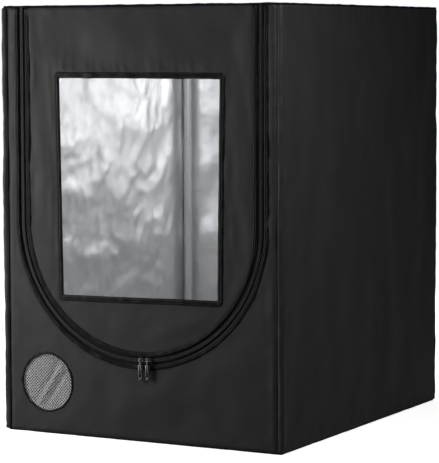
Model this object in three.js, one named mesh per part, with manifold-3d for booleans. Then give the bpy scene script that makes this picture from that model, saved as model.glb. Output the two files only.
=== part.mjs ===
// Printer enclosure tent: a sewn fabric cover over a knock-down frame of steel tubes,
// with a zipped front door, a clear window, a mesh vent and a drawstring cable port.
// Millimetres, +Z up. The door faces -Y and +X is to the right of someone facing it.
// The origin is the centre of the floor's underside.

import * as THREE from "three";
import { mergeVertices } from "three/addons/utils/BufferGeometryUtils.js";
import Module from "manifold-3d";

const wasm = await Module();
wasm.setup();

// ---------------------------------------------------------------- driving dimensions

const WIDTH = 550; // X
const DEPTH = 650; // Y
const HEIGHT = 750; // Z
const CORNER_RADIUS = 10; // upright edges of the cover
const FABRIC = 1.5; // coated cloth with its foil lining
const GAP = 0.3; // clearance between separate pieces

const TUBE_RADIUS = 8;
const TUBE_WALL = 0.8;
const SOCKET_RADIUS = 11;
const COLLAR_RADIUS = 12;
const COLLAR_LENGTH = 6;
const SOCKET_LENGTH = 45; // from the corner's centre
const TUBE_STOP = 13; // where a tube's end stops, from the corner's centre

const ZIP_RADIUS = 235; // centre line of the zip: half its width, and the radius of its round end
const ZIP_CENTRE_Z = 376; // centre of the round end
const ZIP_TOP_Z = 745;
const FABRIC_EDGE = 7; // from the zip's centre line to each cloth edge
const TAPE_EDGE = 1.5; // from the zip's centre line to each tape
const BINDING_WIDTH = 8; // folded strip sewn along each cloth edge
const BINDING_THICKNESS = 1;
const TAPE_THICKNESS = 0.6;
const COIL_WIDTH = 3.3;
const COIL_THICKNESS = 2.1;
const COIL_SPLIT = 0.7; // from the centre line to each coil

const WINDOW_HALF_WIDTH = 155;
const WINDOW_BOTTOM_Z = 250;
const WINDOW_TOP_Z = 625;
const WINDOW_CORNER = 8;
const WINDOW_BINDING = 10;
const WINDOW_SHEET = 0.8;

const VENT_X = -188;
const VENT_Z = 91;
const VENT_RADIUS = 48;
const VENT_RING_WIDTH = 4;
const VENT_MESH_RADIUS = 54;
const VENT_MESH_PITCH = 11;
const VENT_MESH_STRAND = 2;
const VENT_FLAP_RADIUS = 55;
const VENT_FLAP_TOP_Z = 150;
const VENT_NET = 1;
const PATCH_WIDTH = 30;
const PATCH_HEIGHT = 11;
const PATCH_BOTTOM_Z = 24.5;
const LOOP_THICKNESS = 0.7;
const HOOK_THICKNESS = 0.9;

const SLIDER_LENGTH = 13; // along the zip
const SLIDER_WIDTH = 11; // across the zip
const SLIDER_SPACING = 14;
const SLIDER_MIDDLE_X = 13; // where the two sliders meet
const SLIDER_PLATE = 1.4;
const SLIDER_CORNER = 2;
const CROWN_AXIS = 6; // pull pivot, in front of the cover's face
const CROWN_BAR = 1.3; // thickness of the crown's bar, which the pull hangs on
const CROWN_HALF = 5.4; // half the crown's length along the zip
const PULL_LENGTH = 33;
const PULL_WIDTH = 10;
const PULL_THICKNESS = 1.6;
const PULL_EYE = 2.1; // radius of the eye's centre line
const PULL_WIRE = 0.75; // radius of the eye's wire

const PORT_X = 150;
const PORT_Z = 100;
const PORT_RADIUS = 36; // hole in the back panel
const PORT_RING_WIDTH = 9;
const NECK_RADIUS = 24; // inside the drawn-in sleeve
const NECK_Y = 13; // behind the back panel's face
const NECK_HALF_LENGTH = 3.6;
const SLEEVE_WALL = 1.2;
const SLEEVE_FLARE = 4.5; // how far the mouth opens out again past the neck
const SLEEVE_FLANGE_RADIUS = 44; // sewn edge inside the back panel
const SLEEVE_FLANGE = 1;
const CORD_RADIUS = 1.4;
const CORD_SPREAD = 1.8; // from the cord's middle plane to each tail
const TAIL_LENGTH = 52;

// The cord lock's barrel lies along X, blind at -X, with the cord's passage along Z.
const LOCK_RADIUS = 8;
const LOCK_BORE = 5.6;
const LOCK_MOUTH = 8;
const LOCK_FLOOR = -15;
const LOCK_WALL = 1.5;
const LOCK_TRAVEL = 3;
const LOCK_STEM_END = -5; // where the plunger's stem meets the spring
const LOCK_CAP_RADIUS = 7;
const LOCK_CAP_LENGTH = 4;
const LOCK_DROP = 18; // below the cord's loop
const SPRING_RADIUS = 4.2;
const SPRING_WIRE = 0.4;
const SPRING_COILS = 5;

// ---------------------------------------------------------------- places worked out from them

const FRONT_Y = -DEPTH / 2;
const BACK_Y = DEPTH / 2;
const WALL_TOP_Z = HEIGHT - FABRIC - GAP;
const PANEL_HALF_WIDTH = WIDTH / 2 - CORNER_RADIUS - GAP;
const FRAME_INSET = FABRIC + TAPE_THICKNESS + COLLAR_RADIUS + 2.4 * GAP;
const FRAME_X = WIDTH / 2 - FRAME_INSET;
const FRAME_Y = DEPTH / 2 - FRAME_INSET;
const FRAME_LOW_Z = FRAME_INSET;
const FRAME_HIGH_Z = HEIGHT - FRAME_INSET;
const FRONT_INSIDE_Y = FRONT_Y + FABRIC;
const TAPE_Y = FRONT_INSIDE_Y + GAP;
const COIL_Y = TAPE_Y - GAP - COIL_THICKNESS;
const BINDING_Y = FRONT_Y - GAP - BINDING_THICKNESS;

const ARC_STEPS = 20; // straight steps in each half of the zip's round end
const ROUND_STEPS = 14;
const CORNER_STEPS = 6; // for the cover's upright corners
const SMALL_STEPS = 4; // for corners of a few millimetres
const BURY = 0.2; // how far joined bodies reach into each other

// ---------------------------------------------------------------- materials

function material(color, roughness, metalness = 0) {
  return new THREE.MeshStandardMaterial({ color, roughness, metalness });
}

const coverCloth = material(0x2c2c2e, 0.8);
const floorCloth = material(0x262628, 0.85);
const bindingCloth = material(0x151516, 0.75);
const zipTape = material(0x121213, 0.85);
const zipCoil = material(0x18181a, 0.45);
const zipMetal = material(0x26272a, 0.35, 0.8);
const clearSheet = new THREE.MeshStandardMaterial({
  color: 0xe8eef2,
  roughness: 0.08,
  transparent: true,
  opacity: 0.3,
});
const ventMesh = material(0x6d6e70, 0.7);
const foilCloth = material(0xc4c6c8, 0.35, 0.7);
const hookAndLoop = material(0x1c1c1d, 0.95);
const tubePaint = material(0xd9dadb, 0.4, 0.2);
const connectorPlastic = material(0x1b1b1c, 0.55);
const cordCloth = material(0x202022, 0.9);
const lockPlastic = material(0x141415, 0.4);
const springSteel = material(0xa9abad, 0.3, 0.9);

// ---------------------------------------------------------------- helpers

const tent = new THREE.Group();

function add(name, geometry, finish, place = [0, 0, 0], turn = [0, 0, 0]) {
  const mesh = new THREE.Mesh(geometry, finish);
  mesh.name = name;
  mesh.position.set(...place);
  mesh.rotation.set(...turn);
  tent.add(mesh);
  return mesh;
}

// An outline drawn in X and Z, made into a plate that reaches `depth` back from y = 0.
function uprightPlate(outline, depth, curveSegments = ROUND_STEPS) {
  const plate = new THREE.ExtrudeGeometry(outline, { depth, bevelEnabled: false, curveSegments });
  plate.rotateX(Math.PI / 2);
  plate.translate(0, depth, 0);
  return plate;
}

// An outline drawn in X and Y, made into a prism that reaches `height` up from z = 0.
function prism(outline, height, curveSegments = ROUND_STEPS) {
  return new THREE.ExtrudeGeometry(outline, { depth: height, bevelEnabled: false, curveSegments });
}

function toSolid(geometry) {
  const plain = geometry.clone();
  plain.deleteAttribute("normal");
  plain.deleteAttribute("uv");
  const merged = mergeVertices(plain, 1e-4);
  return new wasm.Manifold(
    new wasm.Mesh({
      numProp: 3,
      vertProperties: new Float32Array(merged.attributes.position.array),
      triVerts: new Uint32Array(merged.index.array),
    })
  );
}

function toGeometry(solid) {
  const mesh = solid.getMesh();
  const geometry = new THREE.BufferGeometry();
  geometry.setAttribute("position", new THREE.BufferAttribute(mesh.vertProperties, 3));
  geometry.setIndex(new THREE.BufferAttribute(mesh.triVerts, 1));
  geometry.computeVertexNormals();
  return geometry;
}

function join(...geometries) {
  return toGeometry(geometries.map(toSolid).reduce((whole, piece) => whole.add(piece)));
}

function cut(geometry, ...tools) {
  return toGeometry(tools.map(toSolid).reduce((rest, tool) => rest.subtract(tool), toSolid(geometry)));
}

function box(x0, x1, y0, y1, z0, z1) {
  const geometry = new THREE.BoxGeometry(x1 - x0, y1 - y0, z1 - z0);
  geometry.translate((x0 + x1) / 2, (y0 + y1) / 2, (z0 + z1) / 2);
  return geometry;
}

// A rod along X, Y or Z from `from` to `to`.
function rod(axis, radius, from, to, steps = ROUND_STEPS) {
  const geometry = new THREE.CylinderGeometry(radius, radius, to - from, steps);
  geometry.translate(0, (from + to) / 2, 0);
  if (axis === "x") geometry.rotateZ(-Math.PI / 2);
  if (axis === "z") geometry.rotateX(Math.PI / 2);
  return geometry;
}

function roundedRectangle(x0, x1, y0, y1, radius, path = new THREE.Shape()) {
  path.moveTo(x0 + radius, y0);
  path.lineTo(x1 - radius, y0);
  path.absarc(x1 - radius, y0 + radius, radius, -Math.PI / 2, 0, false);
  path.lineTo(x1, y1 - radius);
  path.absarc(x1 - radius, y1 - radius, radius, 0, Math.PI / 2, false);
  path.lineTo(x0 + radius, y1);
  path.absarc(x0 + radius, y1 - radius, radius, Math.PI / 2, Math.PI, false);
  path.lineTo(x0, y0 + radius);
  path.absarc(x0 + radius, y0 + radius, radius, Math.PI, Math.PI * 1.5, false);
  return path;
}

function circle(x, y, radius, path = new THREE.Shape()) {
  path.absarc(x, y, radius, 0, Math.PI * 2, false);
  return path;
}

// The right-hand leg's foot, round the bottom and up to the left-hand leg's foot.
function roundEnd(path, radius) {
  const turns = 2 * ARC_STEPS;
  for (let i = 0; i <= turns; i += 1) {
    const angle = -(Math.PI * i) / turns;
    path.lineTo(radius * Math.cos(angle), ZIP_CENTRE_Z + radius * Math.sin(angle));
  }
}

// The same, walked from the left-hand leg to the right-hand one.
function roundEndBack(path, radius) {
  const turns = 2 * ARC_STEPS;
  for (let i = turns; i >= 0; i -= 1) {
    const angle = -(Math.PI * i) / turns;
    path.lineTo(radius * Math.cos(angle), ZIP_CENTRE_Z + radius * Math.sin(angle));
  }
}

// A band that follows the zip: down one leg, round the end and up the other leg.
function zipBand(inner, outer) {
  const shape = new THREE.Shape();
  shape.moveTo(-outer, ZIP_TOP_Z);
  roundEndBack(shape, outer);
  shape.lineTo(outer, ZIP_TOP_Z);
  shape.lineTo(inner, ZIP_TOP_Z);
  roundEnd(shape, inner);
  shape.lineTo(-inner, ZIP_TOP_Z);
  return shape;
}

// ---------------------------------------------------------------- frame

// A corner with one socket along each of +X, +Y and +Z.
function connectorGeometry() {
  const axes = ["x", "y", "z"];
  const core = new THREE.SphereGeometry(COLLAR_RADIUS, 10, 6);
  const sockets = axes.map((axis) => rod(axis, SOCKET_RADIUS, 0, SOCKET_LENGTH));
  const collars = axes.map((axis) =>
    rod(axis, COLLAR_RADIUS, SOCKET_LENGTH - COLLAR_LENGTH, SOCKET_LENGTH)
  );
  const bores = axes.map((axis) =>
    rod(axis, TUBE_RADIUS + GAP, TUBE_STOP - GAP, SOCKET_LENGTH + COLLAR_LENGTH)
  );
  return cut(join(core, ...sockets, ...collars), ...bores);
}

function addConnectors() {
  const geometry = connectorGeometry();
  const corners = [
    ["front_left", -1, -1],
    ["front_right", 1, -1],
    ["back_right", 1, 1],
    ["back_left", -1, 1],
  ];
  corners.forEach(([corner, sideX, sideY], quarter) => {
    const place = [sideX * FRAME_X, sideY * FRAME_Y];
    const spin = (quarter * Math.PI) / 2;
    add(`connector_bottom_${corner}`, geometry, connectorPlastic, [...place, FRAME_LOW_Z], [0, 0, spin]);
    const top = geometry.clone();
    top.rotateX(Math.PI);
    top.rotateZ(spin + Math.PI / 2);
    add(`connector_top_${corner}`, top, connectorPlastic, [...place, FRAME_HIGH_Z]);
  });
}

function tubeGeometry(span) {
  const ring = circle(0, 0, TUBE_RADIUS);
  ring.holes.push(circle(0, 0, TUBE_RADIUS - TUBE_WALL, new THREE.Path()));
  const length = span - 2 * TUBE_STOP;
  const geometry = prism(ring, length, ROUND_STEPS / 2);
  geometry.translate(0, 0, -length / 2);
  return geometry;
}

function addTubes() {
  const across = tubeGeometry(2 * FRAME_X);
  const along = tubeGeometry(2 * FRAME_Y);
  const upright = tubeGeometry(FRAME_HIGH_Z - FRAME_LOW_Z);
  const quarter = Math.PI / 2;
  [
    ["bottom", FRAME_LOW_Z],
    ["top", FRAME_HIGH_Z],
  ].forEach(([level, z]) => {
    add(`tube_${level}_front`, across, tubePaint, [0, -FRAME_Y, z], [0, quarter, 0]);
    add(`tube_${level}_back`, across, tubePaint, [0, FRAME_Y, z], [0, quarter, 0]);
    add(`tube_${level}_left`, along, tubePaint, [-FRAME_X, 0, z], [quarter, 0, 0]);
    add(`tube_${level}_right`, along, tubePaint, [FRAME_X, 0, z], [quarter, 0, 0]);
  });
  const middle = (FRAME_LOW_Z + FRAME_HIGH_Z) / 2;
  add("post_front_left", upright, tubePaint, [-FRAME_X, -FRAME_Y, middle]);
  add("post_front_right", upright, tubePaint, [FRAME_X, -FRAME_Y, middle]);
  add("post_back_left", upright, tubePaint, [-FRAME_X, FRAME_Y, middle]);
  add("post_back_right", upright, tubePaint, [FRAME_X, FRAME_Y, middle]);
}

// ---------------------------------------------------------------- cover

// Front wall: two narrow legs and a sill round the door opening, with the vent's hole.
function frontPanelGeometry() {
  const edge = ZIP_RADIUS + FABRIC_EDGE;
  const shape = new THREE.Shape();
  shape.moveTo(-PANEL_HALF_WIDTH, 0);
  shape.lineTo(PANEL_HALF_WIDTH, 0);
  shape.lineTo(PANEL_HALF_WIDTH, WALL_TOP_Z);
  shape.lineTo(edge, WALL_TOP_Z);
  roundEnd(shape, edge);
  shape.lineTo(-edge, WALL_TOP_Z);
  shape.lineTo(-PANEL_HALF_WIDTH, WALL_TOP_Z);
  shape.holes.push(circle(VENT_X, VENT_Z, VENT_RADIUS, new THREE.Path()));
  return uprightPlate(shape, FABRIC);
}

function backPanelGeometry() {
  const shape = new THREE.Shape();
  shape.moveTo(-PANEL_HALF_WIDTH, 0);
  shape.lineTo(PANEL_HALF_WIDTH, 0);
  shape.lineTo(PANEL_HALF_WIDTH, WALL_TOP_Z);
  shape.lineTo(-PANEL_HALF_WIDTH, WALL_TOP_Z);
  shape.holes.push(circle(PORT_X, PORT_Z, PORT_RADIUS, new THREE.Path()));
  return uprightPlate(shape, FABRIC);
}

// A side wall on +X, wrapped round both upright corners as far as the seams.
function sidePanelGeometry() {
  const outerX = WIDTH / 2;
  const bendX = outerX - CORNER_RADIUS;
  const bendY = DEPTH / 2 - CORNER_RADIUS;
  const inner = CORNER_RADIUS - FABRIC;
  const shape = new THREE.Shape();
  shape.moveTo(bendX, -DEPTH / 2);
  shape.absarc(bendX, -bendY, CORNER_RADIUS, -Math.PI / 2, 0, false);
  shape.lineTo(outerX, bendY);
  shape.absarc(bendX, bendY, CORNER_RADIUS, 0, Math.PI / 2, false);
  shape.lineTo(bendX, bendY + inner);
  shape.absarc(bendX, bendY, inner, Math.PI / 2, 0, true);
  shape.lineTo(outerX - FABRIC, -bendY);
  shape.absarc(bendX, -bendY, inner, 0, -Math.PI / 2, true);
  return prism(shape, WALL_TOP_Z, CORNER_STEPS);
}

function addCover() {
  add("front_panel", frontPanelGeometry(), coverCloth, [0, FRONT_Y, 0]);
  add("back_panel", backPanelGeometry(), coverCloth, [0, BACK_Y - FABRIC, 0]);
  const side = sidePanelGeometry();
  add("right_panel", side, coverCloth);
  add("left_panel", side, coverCloth, [0, 0, 0], [0, 0, Math.PI]);
  const roof = roundedRectangle(-WIDTH / 2, WIDTH / 2, -DEPTH / 2, DEPTH / 2, CORNER_RADIUS);
  add("roof_panel", prism(roof, FABRIC, CORNER_STEPS), coverCloth, [0, 0, HEIGHT - FABRIC]);
  const inset = FABRIC + GAP;
  const floor = roundedRectangle(
    inset - WIDTH / 2,
    WIDTH / 2 - inset,
    inset - DEPTH / 2,
    DEPTH / 2 - inset,
    CORNER_RADIUS - inset
  );
  add("floor_panel", prism(floor, FABRIC, CORNER_STEPS), floorCloth);
}

// ---------------------------------------------------------------- door and zip

function doorPanelGeometry() {
  const edge = ZIP_RADIUS - FABRIC_EDGE;
  const shape = new THREE.Shape();
  shape.moveTo(-edge, ZIP_TOP_Z);
  roundEndBack(shape, edge);
  shape.lineTo(edge, ZIP_TOP_Z);
  shape.holes.push(
    roundedRectangle(
      -WINDOW_HALF_WIDTH,
      WINDOW_HALF_WIDTH,
      WINDOW_BOTTOM_Z,
      WINDOW_TOP_Z,
      WINDOW_CORNER,
      new THREE.Path()
    )
  );
  return uprightPlate(shape, FABRIC, SMALL_STEPS);
}

// A rectangle larger than the window's clear area by `reach` on every side.
function windowOutline(reach, path) {
  return roundedRectangle(
    -WINDOW_HALF_WIDTH - reach,
    WINDOW_HALF_WIDTH + reach,
    WINDOW_BOTTOM_Z - reach,
    WINDOW_TOP_Z + reach,
    WINDOW_CORNER + reach / 2,
    path
  );
}

function addDoor() {
  add("door_panel", doorPanelGeometry(), coverCloth, [0, FRONT_Y, 0]);
  const sheetReach = 0.6 * WINDOW_BINDING;
  const sheet = uprightPlate(windowOutline(sheetReach), WINDOW_SHEET, SMALL_STEPS);
  add("door_window", sheet, clearSheet, [0, TAPE_Y, 0]);
  const binding = windowOutline(WINDOW_BINDING);
  binding.holes.push(windowOutline(0, new THREE.Path()));
  const strip = uprightPlate(binding, BINDING_THICKNESS, SMALL_STEPS);
  add("window_binding", strip, bindingCloth, [0, BINDING_Y, 0]);
}

// Each side of the zip: a folded strip on the cloth's edge, a tape behind it and the coil.
function addZip() {
  const tapeReach = FABRIC_EDGE + BINDING_WIDTH;
  [
    ["cover", 1],
    ["door", -1],
  ].forEach(([owner, side]) => {
    const band = (near, far) => {
      const radii = [ZIP_RADIUS + side * near, ZIP_RADIUS + side * far];
      return zipBand(Math.min(...radii), Math.max(...radii));
    };
    const strip = uprightPlate(band(FABRIC_EDGE, tapeReach), BINDING_THICKNESS);
    add(`${owner}_edge_binding`, strip, bindingCloth, [0, BINDING_Y, 0]);
    const tape = uprightPlate(band(TAPE_EDGE, tapeReach), TAPE_THICKNESS);
    add(`${owner}_zip_tape`, tape, zipTape, [0, TAPE_Y, 0]);
    const coil = uprightPlate(band(COIL_SPLIT, COIL_SPLIT + COIL_WIDTH), COIL_THICKNESS);
    add(`${owner}_zip_coil`, coil, zipCoil, [0, COIL_Y, 0]);
  });
}

// A slider at the bottom of the round end, with y = 0 at the cover's face and z = 0 on the
// zip's centre line. It holds the door's coil between its plates; +Z points to the door.
function sliderGeometry() {
  const plateBack = COIL_Y - FRONT_Y - GAP;
  const plateFront = plateBack - SLIDER_PLATE;
  const half = SLIDER_LENGTH / 2;
  const edge = SLIDER_WIDTH / 2;
  const outline = roundedRectangle(-half, half, -edge, edge, SLIDER_CORNER);
  const plate = uprightPlate(outline, SLIDER_PLATE, SMALL_STEPS);
  plate.translate(0, plateFront, 0);

  const lipWidth = 1.1;
  const lipDepth = 1.8;
  const lipHalf = half - SLIDER_CORNER;
  const lipFront = plateBack - BURY;
  const upperLip = box(-lipHalf, lipHalf, lipFront, plateBack + lipDepth, edge - lipWidth, edge);
  const lowerLip = box(-lipHalf, lipHalf, lipFront, plateBack + lipDepth, -edge, lipWidth - edge);

  const keeperFront = TAPE_Y - FRONT_Y + TAPE_THICKNESS + GAP;
  const keeperThickness = 1;
  const postHalf = COIL_SPLIT - GAP;
  const postReach = 3;
  const post = box(-postReach, postReach, lipFront, keeperFront + BURY, -postHalf, postHalf);
  const keeperBack = keeperFront + keeperThickness;
  const keeper = box(-lipHalf, lipHalf, keeperFront, keeperBack, -postHalf, edge);
  return join(plate, upperLip, lowerLip, post, keeper, crownGeometry(plateFront + BURY));
}

// The arch on a slider's face that its pull hangs from, with its feet at y = footY.
function crownGeometry(footY) {
  const taper = 0.8;
  const footHalf = CROWN_HALF - SLIDER_PLATE;
  const barFront = -CROWN_AXIS - CROWN_BAR / 2;
  const barBack = -CROWN_AXIS + CROWN_BAR / 2;
  const arch = new THREE.Shape();
  arch.moveTo(-CROWN_HALF, footY);
  arch.lineTo(-CROWN_HALF + taper, barFront);
  arch.lineTo(CROWN_HALF - taper, barFront);
  arch.lineTo(CROWN_HALF, footY);
  arch.lineTo(footHalf, footY);
  arch.lineTo(footHalf, barBack);
  arch.lineTo(-footHalf, barBack);
  arch.lineTo(-footHalf, footY);
  const crown = prism(arch, SLIDER_PLATE);
  crown.translate(0, 0, -SLIDER_PLATE / 2);
  return crown;
}

// A pull that hangs from the crown: an eye round the crown's bar and a flat waisted tab.
function pullGeometry() {
  const eye = new THREE.TorusGeometry(PULL_EYE, PULL_WIRE, 6, 12);
  eye.rotateY(Math.PI / 2);
  const half = PULL_WIDTH / 2;
  const taper = 0.7;
  const neck = 1.5;
  const top = -PULL_EYE - 0.4 * PULL_WIRE;
  const neckEnd = top - 2;
  const shoulder = top - 5;
  const foot = 2;
  const outline = new THREE.Shape();
  outline.moveTo(-neck, top);
  outline.lineTo(-neck, neckEnd);
  outline.lineTo(-half, shoulder);
  outline.lineTo(-half + taper, -PULL_LENGTH + foot);
  outline.quadraticCurveTo(-half + taper, -PULL_LENGTH, -half + foot + taper, -PULL_LENGTH);
  outline.lineTo(half - foot - taper, -PULL_LENGTH);
  outline.quadraticCurveTo(half - taper, -PULL_LENGTH, half - taper, -PULL_LENGTH + foot);
  outline.lineTo(half, shoulder);
  outline.lineTo(neck, neckEnd);
  outline.lineTo(neck, top);
  const slotHalf = 1.1;
  const slotBottom = -PULL_LENGTH + 5;
  const slotTop = slotBottom + 6;
  const slot = new THREE.Path();
  outline.holes.push(roundedRectangle(-slotHalf, slotHalf, slotBottom, slotTop, 1, slot));
  const tab = uprightPlate(outline, PULL_THICKNESS, SMALL_STEPS);
  tab.translate(0, -PULL_THICKNESS / 2, 0);
  return join(eye, tab);
}

function addSliders() {
  const slider = sliderGeometry();
  const pull = pullGeometry();
  [
    ["left", -1],
    ["right", 1],
  ].forEach(([side, sign]) => {
    const along = (SLIDER_MIDDLE_X + (sign * SLIDER_SPACING) / 2) / ZIP_RADIUS;
    const x = ZIP_RADIUS * Math.sin(along);
    const z = ZIP_CENTRE_Z - ZIP_RADIUS * Math.cos(along);
    add(`zip_slider_${side}`, slider, zipMetal, [x, FRONT_Y, z], [0, -along, 0]);
    add(`zip_pull_${side}`, pull, zipMetal, [x, FRONT_Y - CROWN_AXIS, z]);
  });
}

// ---------------------------------------------------------------- vent

// A round net: a disc pierced by a diamond grid of openings.
function ventMeshGeometry() {
  const disc = circle(0, 0, VENT_MESH_RADIUS);
  const opening = (VENT_MESH_PITCH - VENT_MESH_STRAND) / Math.SQRT2;
  const halfPitch = VENT_MESH_PITCH / Math.SQRT2;
  const count = Math.ceil(VENT_RADIUS / halfPitch);
  for (let row = -count; row <= count; row += 1) {
    for (let column = -count; column <= count; column += 1) {
      const x = column * halfPitch;
      const y = row * halfPitch;
      const onGrid = (row + column) % 2 === 0;
      if (onGrid && Math.hypot(x, y) + opening < VENT_RADIUS) {
        const diamond = new THREE.Path();
        diamond.moveTo(x + opening, y);
        diamond.lineTo(x, y + opening);
        diamond.lineTo(x - opening, y);
        diamond.lineTo(x, y - opening);
        diamond.closePath();
        disc.holes.push(diamond);
      }
    }
  }
  return uprightPlate(disc, VENT_NET);
}

// A round flap with a straight sewn head and a tongue for its fastening patch.
function ventFlapGeometry(tongueBottom) {
  const top = VENT_FLAP_TOP_Z - VENT_Z;
  const shape = new THREE.Shape();
  const lowTurn = Math.asin(PATCH_WIDTH / 2 / VENT_FLAP_RADIUS);
  shape.moveTo(-PATCH_WIDTH / 2, tongueBottom);
  shape.lineTo(PATCH_WIDTH / 2, tongueBottom);
  shape.absarc(0, 0, VENT_FLAP_RADIUS, -Math.PI / 2 + lowTurn, Math.PI / 4, false);
  shape.lineTo(VENT_FLAP_RADIUS * Math.SQRT1_2, top);
  shape.lineTo(-VENT_FLAP_RADIUS * Math.SQRT1_2, top);
  shape.absarc(0, 0, VENT_FLAP_RADIUS, Math.PI * 0.75, Math.PI * 1.5 - lowTurn, false);
  return uprightPlate(shape, FABRIC);
}

function addVent() {
  const ring = circle(0, 0, VENT_RADIUS + VENT_RING_WIDTH);
  ring.holes.push(circle(0, 0, VENT_RADIUS, new THREE.Path()));
  const place = (y) => [VENT_X, y, VENT_Z];
  add("vent_ring", uprightPlate(ring, BINDING_THICKNESS), bindingCloth, place(BINDING_Y));
  add("vent_mesh", ventMeshGeometry(), ventMesh, place(TAPE_Y));

  const patchBottom = PATCH_BOTTOM_Z - VENT_Z;
  const patchTop = patchBottom + PATCH_HEIGHT;
  const hookY = TAPE_Y + LOOP_THICKNESS + GAP;
  const flapY = hookY + HOOK_THICKNESS + GAP;
  const half = PATCH_WIDTH / 2;
  const loop = box(-half, half, 0, LOOP_THICKNESS, patchBottom, patchTop);
  add("vent_loop_patch", loop, hookAndLoop, place(TAPE_Y));
  const hook = box(-half, half, 0, HOOK_THICKNESS, patchBottom, patchTop);
  add("vent_hook_patch", hook, hookAndLoop, place(hookY));
  const tongueReach = 0.5;
  add("vent_flap", ventFlapGeometry(patchBottom - tongueReach), foilCloth, place(flapY));
}

// ---------------------------------------------------------------- cable port

// A sleeve that is sewn inside the back panel, passes through it and draws in at a neck.
function sleeveGeometry() {
  const flangeY = -FABRIC - GAP - SLEEVE_FLANGE;
  const bodyRadius = PORT_RADIUS - 0.8;
  const neckOuter = NECK_RADIUS + SLEEVE_WALL;
  const shoulderY = 3; // where the body starts to draw in
  const mouthY = NECK_Y + 9;
  const profile = [
    [bodyRadius - SLEEVE_WALL, flangeY],
    [SLEEVE_FLANGE_RADIUS, flangeY],
    [SLEEVE_FLANGE_RADIUS, flangeY + SLEEVE_FLANGE],
    [bodyRadius, flangeY + SLEEVE_FLANGE],
    [bodyRadius, shoulderY],
    [neckOuter, NECK_Y - NECK_HALF_LENGTH],
    [neckOuter, NECK_Y + NECK_HALF_LENGTH],
    [neckOuter + SLEEVE_FLARE, mouthY],
    [NECK_RADIUS + SLEEVE_FLARE, mouthY + 0.4],
    [NECK_RADIUS, NECK_Y + NECK_HALF_LENGTH + 0.2],
    [NECK_RADIUS, NECK_Y - NECK_HALF_LENGTH - 0.2],
    [bodyRadius - SLEEVE_WALL, shoulderY - 0.4],
    [bodyRadius - SLEEVE_WALL, flangeY],
  ];
  return new THREE.LatheGeometry(
    profile.map(([radius, y]) => new THREE.Vector2(radius, y)),
    24
  );
}

// A cord once round the neck, with both tails hanging side by side through the lock.
class DrawcordCurve extends THREE.Curve {
  constructor(loopRadius, tailLength, spread) {
    super();
    this.loopRadius = loopRadius;
    this.tailLength = tailLength;
    this.spread = spread;
  }

  getPoint(t) {
    const tailShare = 0.28;
    const bottom = -this.loopRadius;
    if (t < tailShare) {
      const z = bottom - this.tailLength * (1 - t / tailShare);
      return new THREE.Vector3(0, -this.spread, z);
    }
    if (t > 1 - tailShare) {
      const z = bottom - this.tailLength * (1 - (1 - t) / tailShare);
      return new THREE.Vector3(0, this.spread, z);
    }
    const share = (t - tailShare) / (1 - 2 * tailShare);
    const turn = -Math.PI / 2 + 2 * Math.PI * share;
    const ease = this.spread * (2 * share - 1);
    return new THREE.Vector3(
      this.loopRadius * Math.cos(turn),
      ease,
      this.loopRadius * Math.sin(turn)
    );
  }
}

function cordTube(path, steps, radius, sides) {
  const section = new THREE.Shape();
  for (let i = 0; i < sides; i += 1) {
    const angle = (2 * Math.PI * i) / sides;
    const x = radius * Math.cos(angle);
    const y = radius * Math.sin(angle);
    if (i === 0) section.moveTo(x, y);
    else section.lineTo(x, y);
  }
  return new THREE.ExtrudeGeometry(section, { steps, bevelEnabled: false, extrudePath: path });
}

// A slot along Z for both tails, `extra` wider towards +X.
function cordPassage(extra) {
  const clear = CORD_RADIUS + GAP;
  const reach = CORD_SPREAD + clear;
  const beyond = LOCK_RADIUS + 2;
  return box(-clear, clear + extra, -reach, reach, -beyond, beyond);
}

function lockBarrelGeometry() {
  const outside = rod("x", LOCK_RADIUS, LOCK_FLOOR - LOCK_WALL, LOCK_MOUTH);
  const bore = rod("x", LOCK_BORE, LOCK_FLOOR, LOCK_MOUTH + LOCK_WALL);
  return cut(outside, bore, cordPassage(0));
}

function lockPlungerGeometry() {
  const capStart = LOCK_MOUTH + LOCK_TRAVEL + GAP;
  const stem = rod("x", LOCK_BORE - GAP, LOCK_STEM_END, capStart + 1);
  const cap = rod("x", LOCK_CAP_RADIUS, capStart, LOCK_MOUTH + LOCK_TRAVEL + LOCK_CAP_LENGTH);
  return cut(join(stem, cap), cordPassage(LOCK_TRAVEL));
}

class SpringCurve extends THREE.Curve {
  constructor(radius, start, length, coils) {
    super();
    Object.assign(this, { radius, start, length, coils });
  }

  getPoint(t) {
    const turn = 2 * Math.PI * this.coils * t;
    return new THREE.Vector3(
      this.start + this.length * t,
      this.radius * Math.cos(turn),
      this.radius * Math.sin(turn)
    );
  }
}

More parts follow.
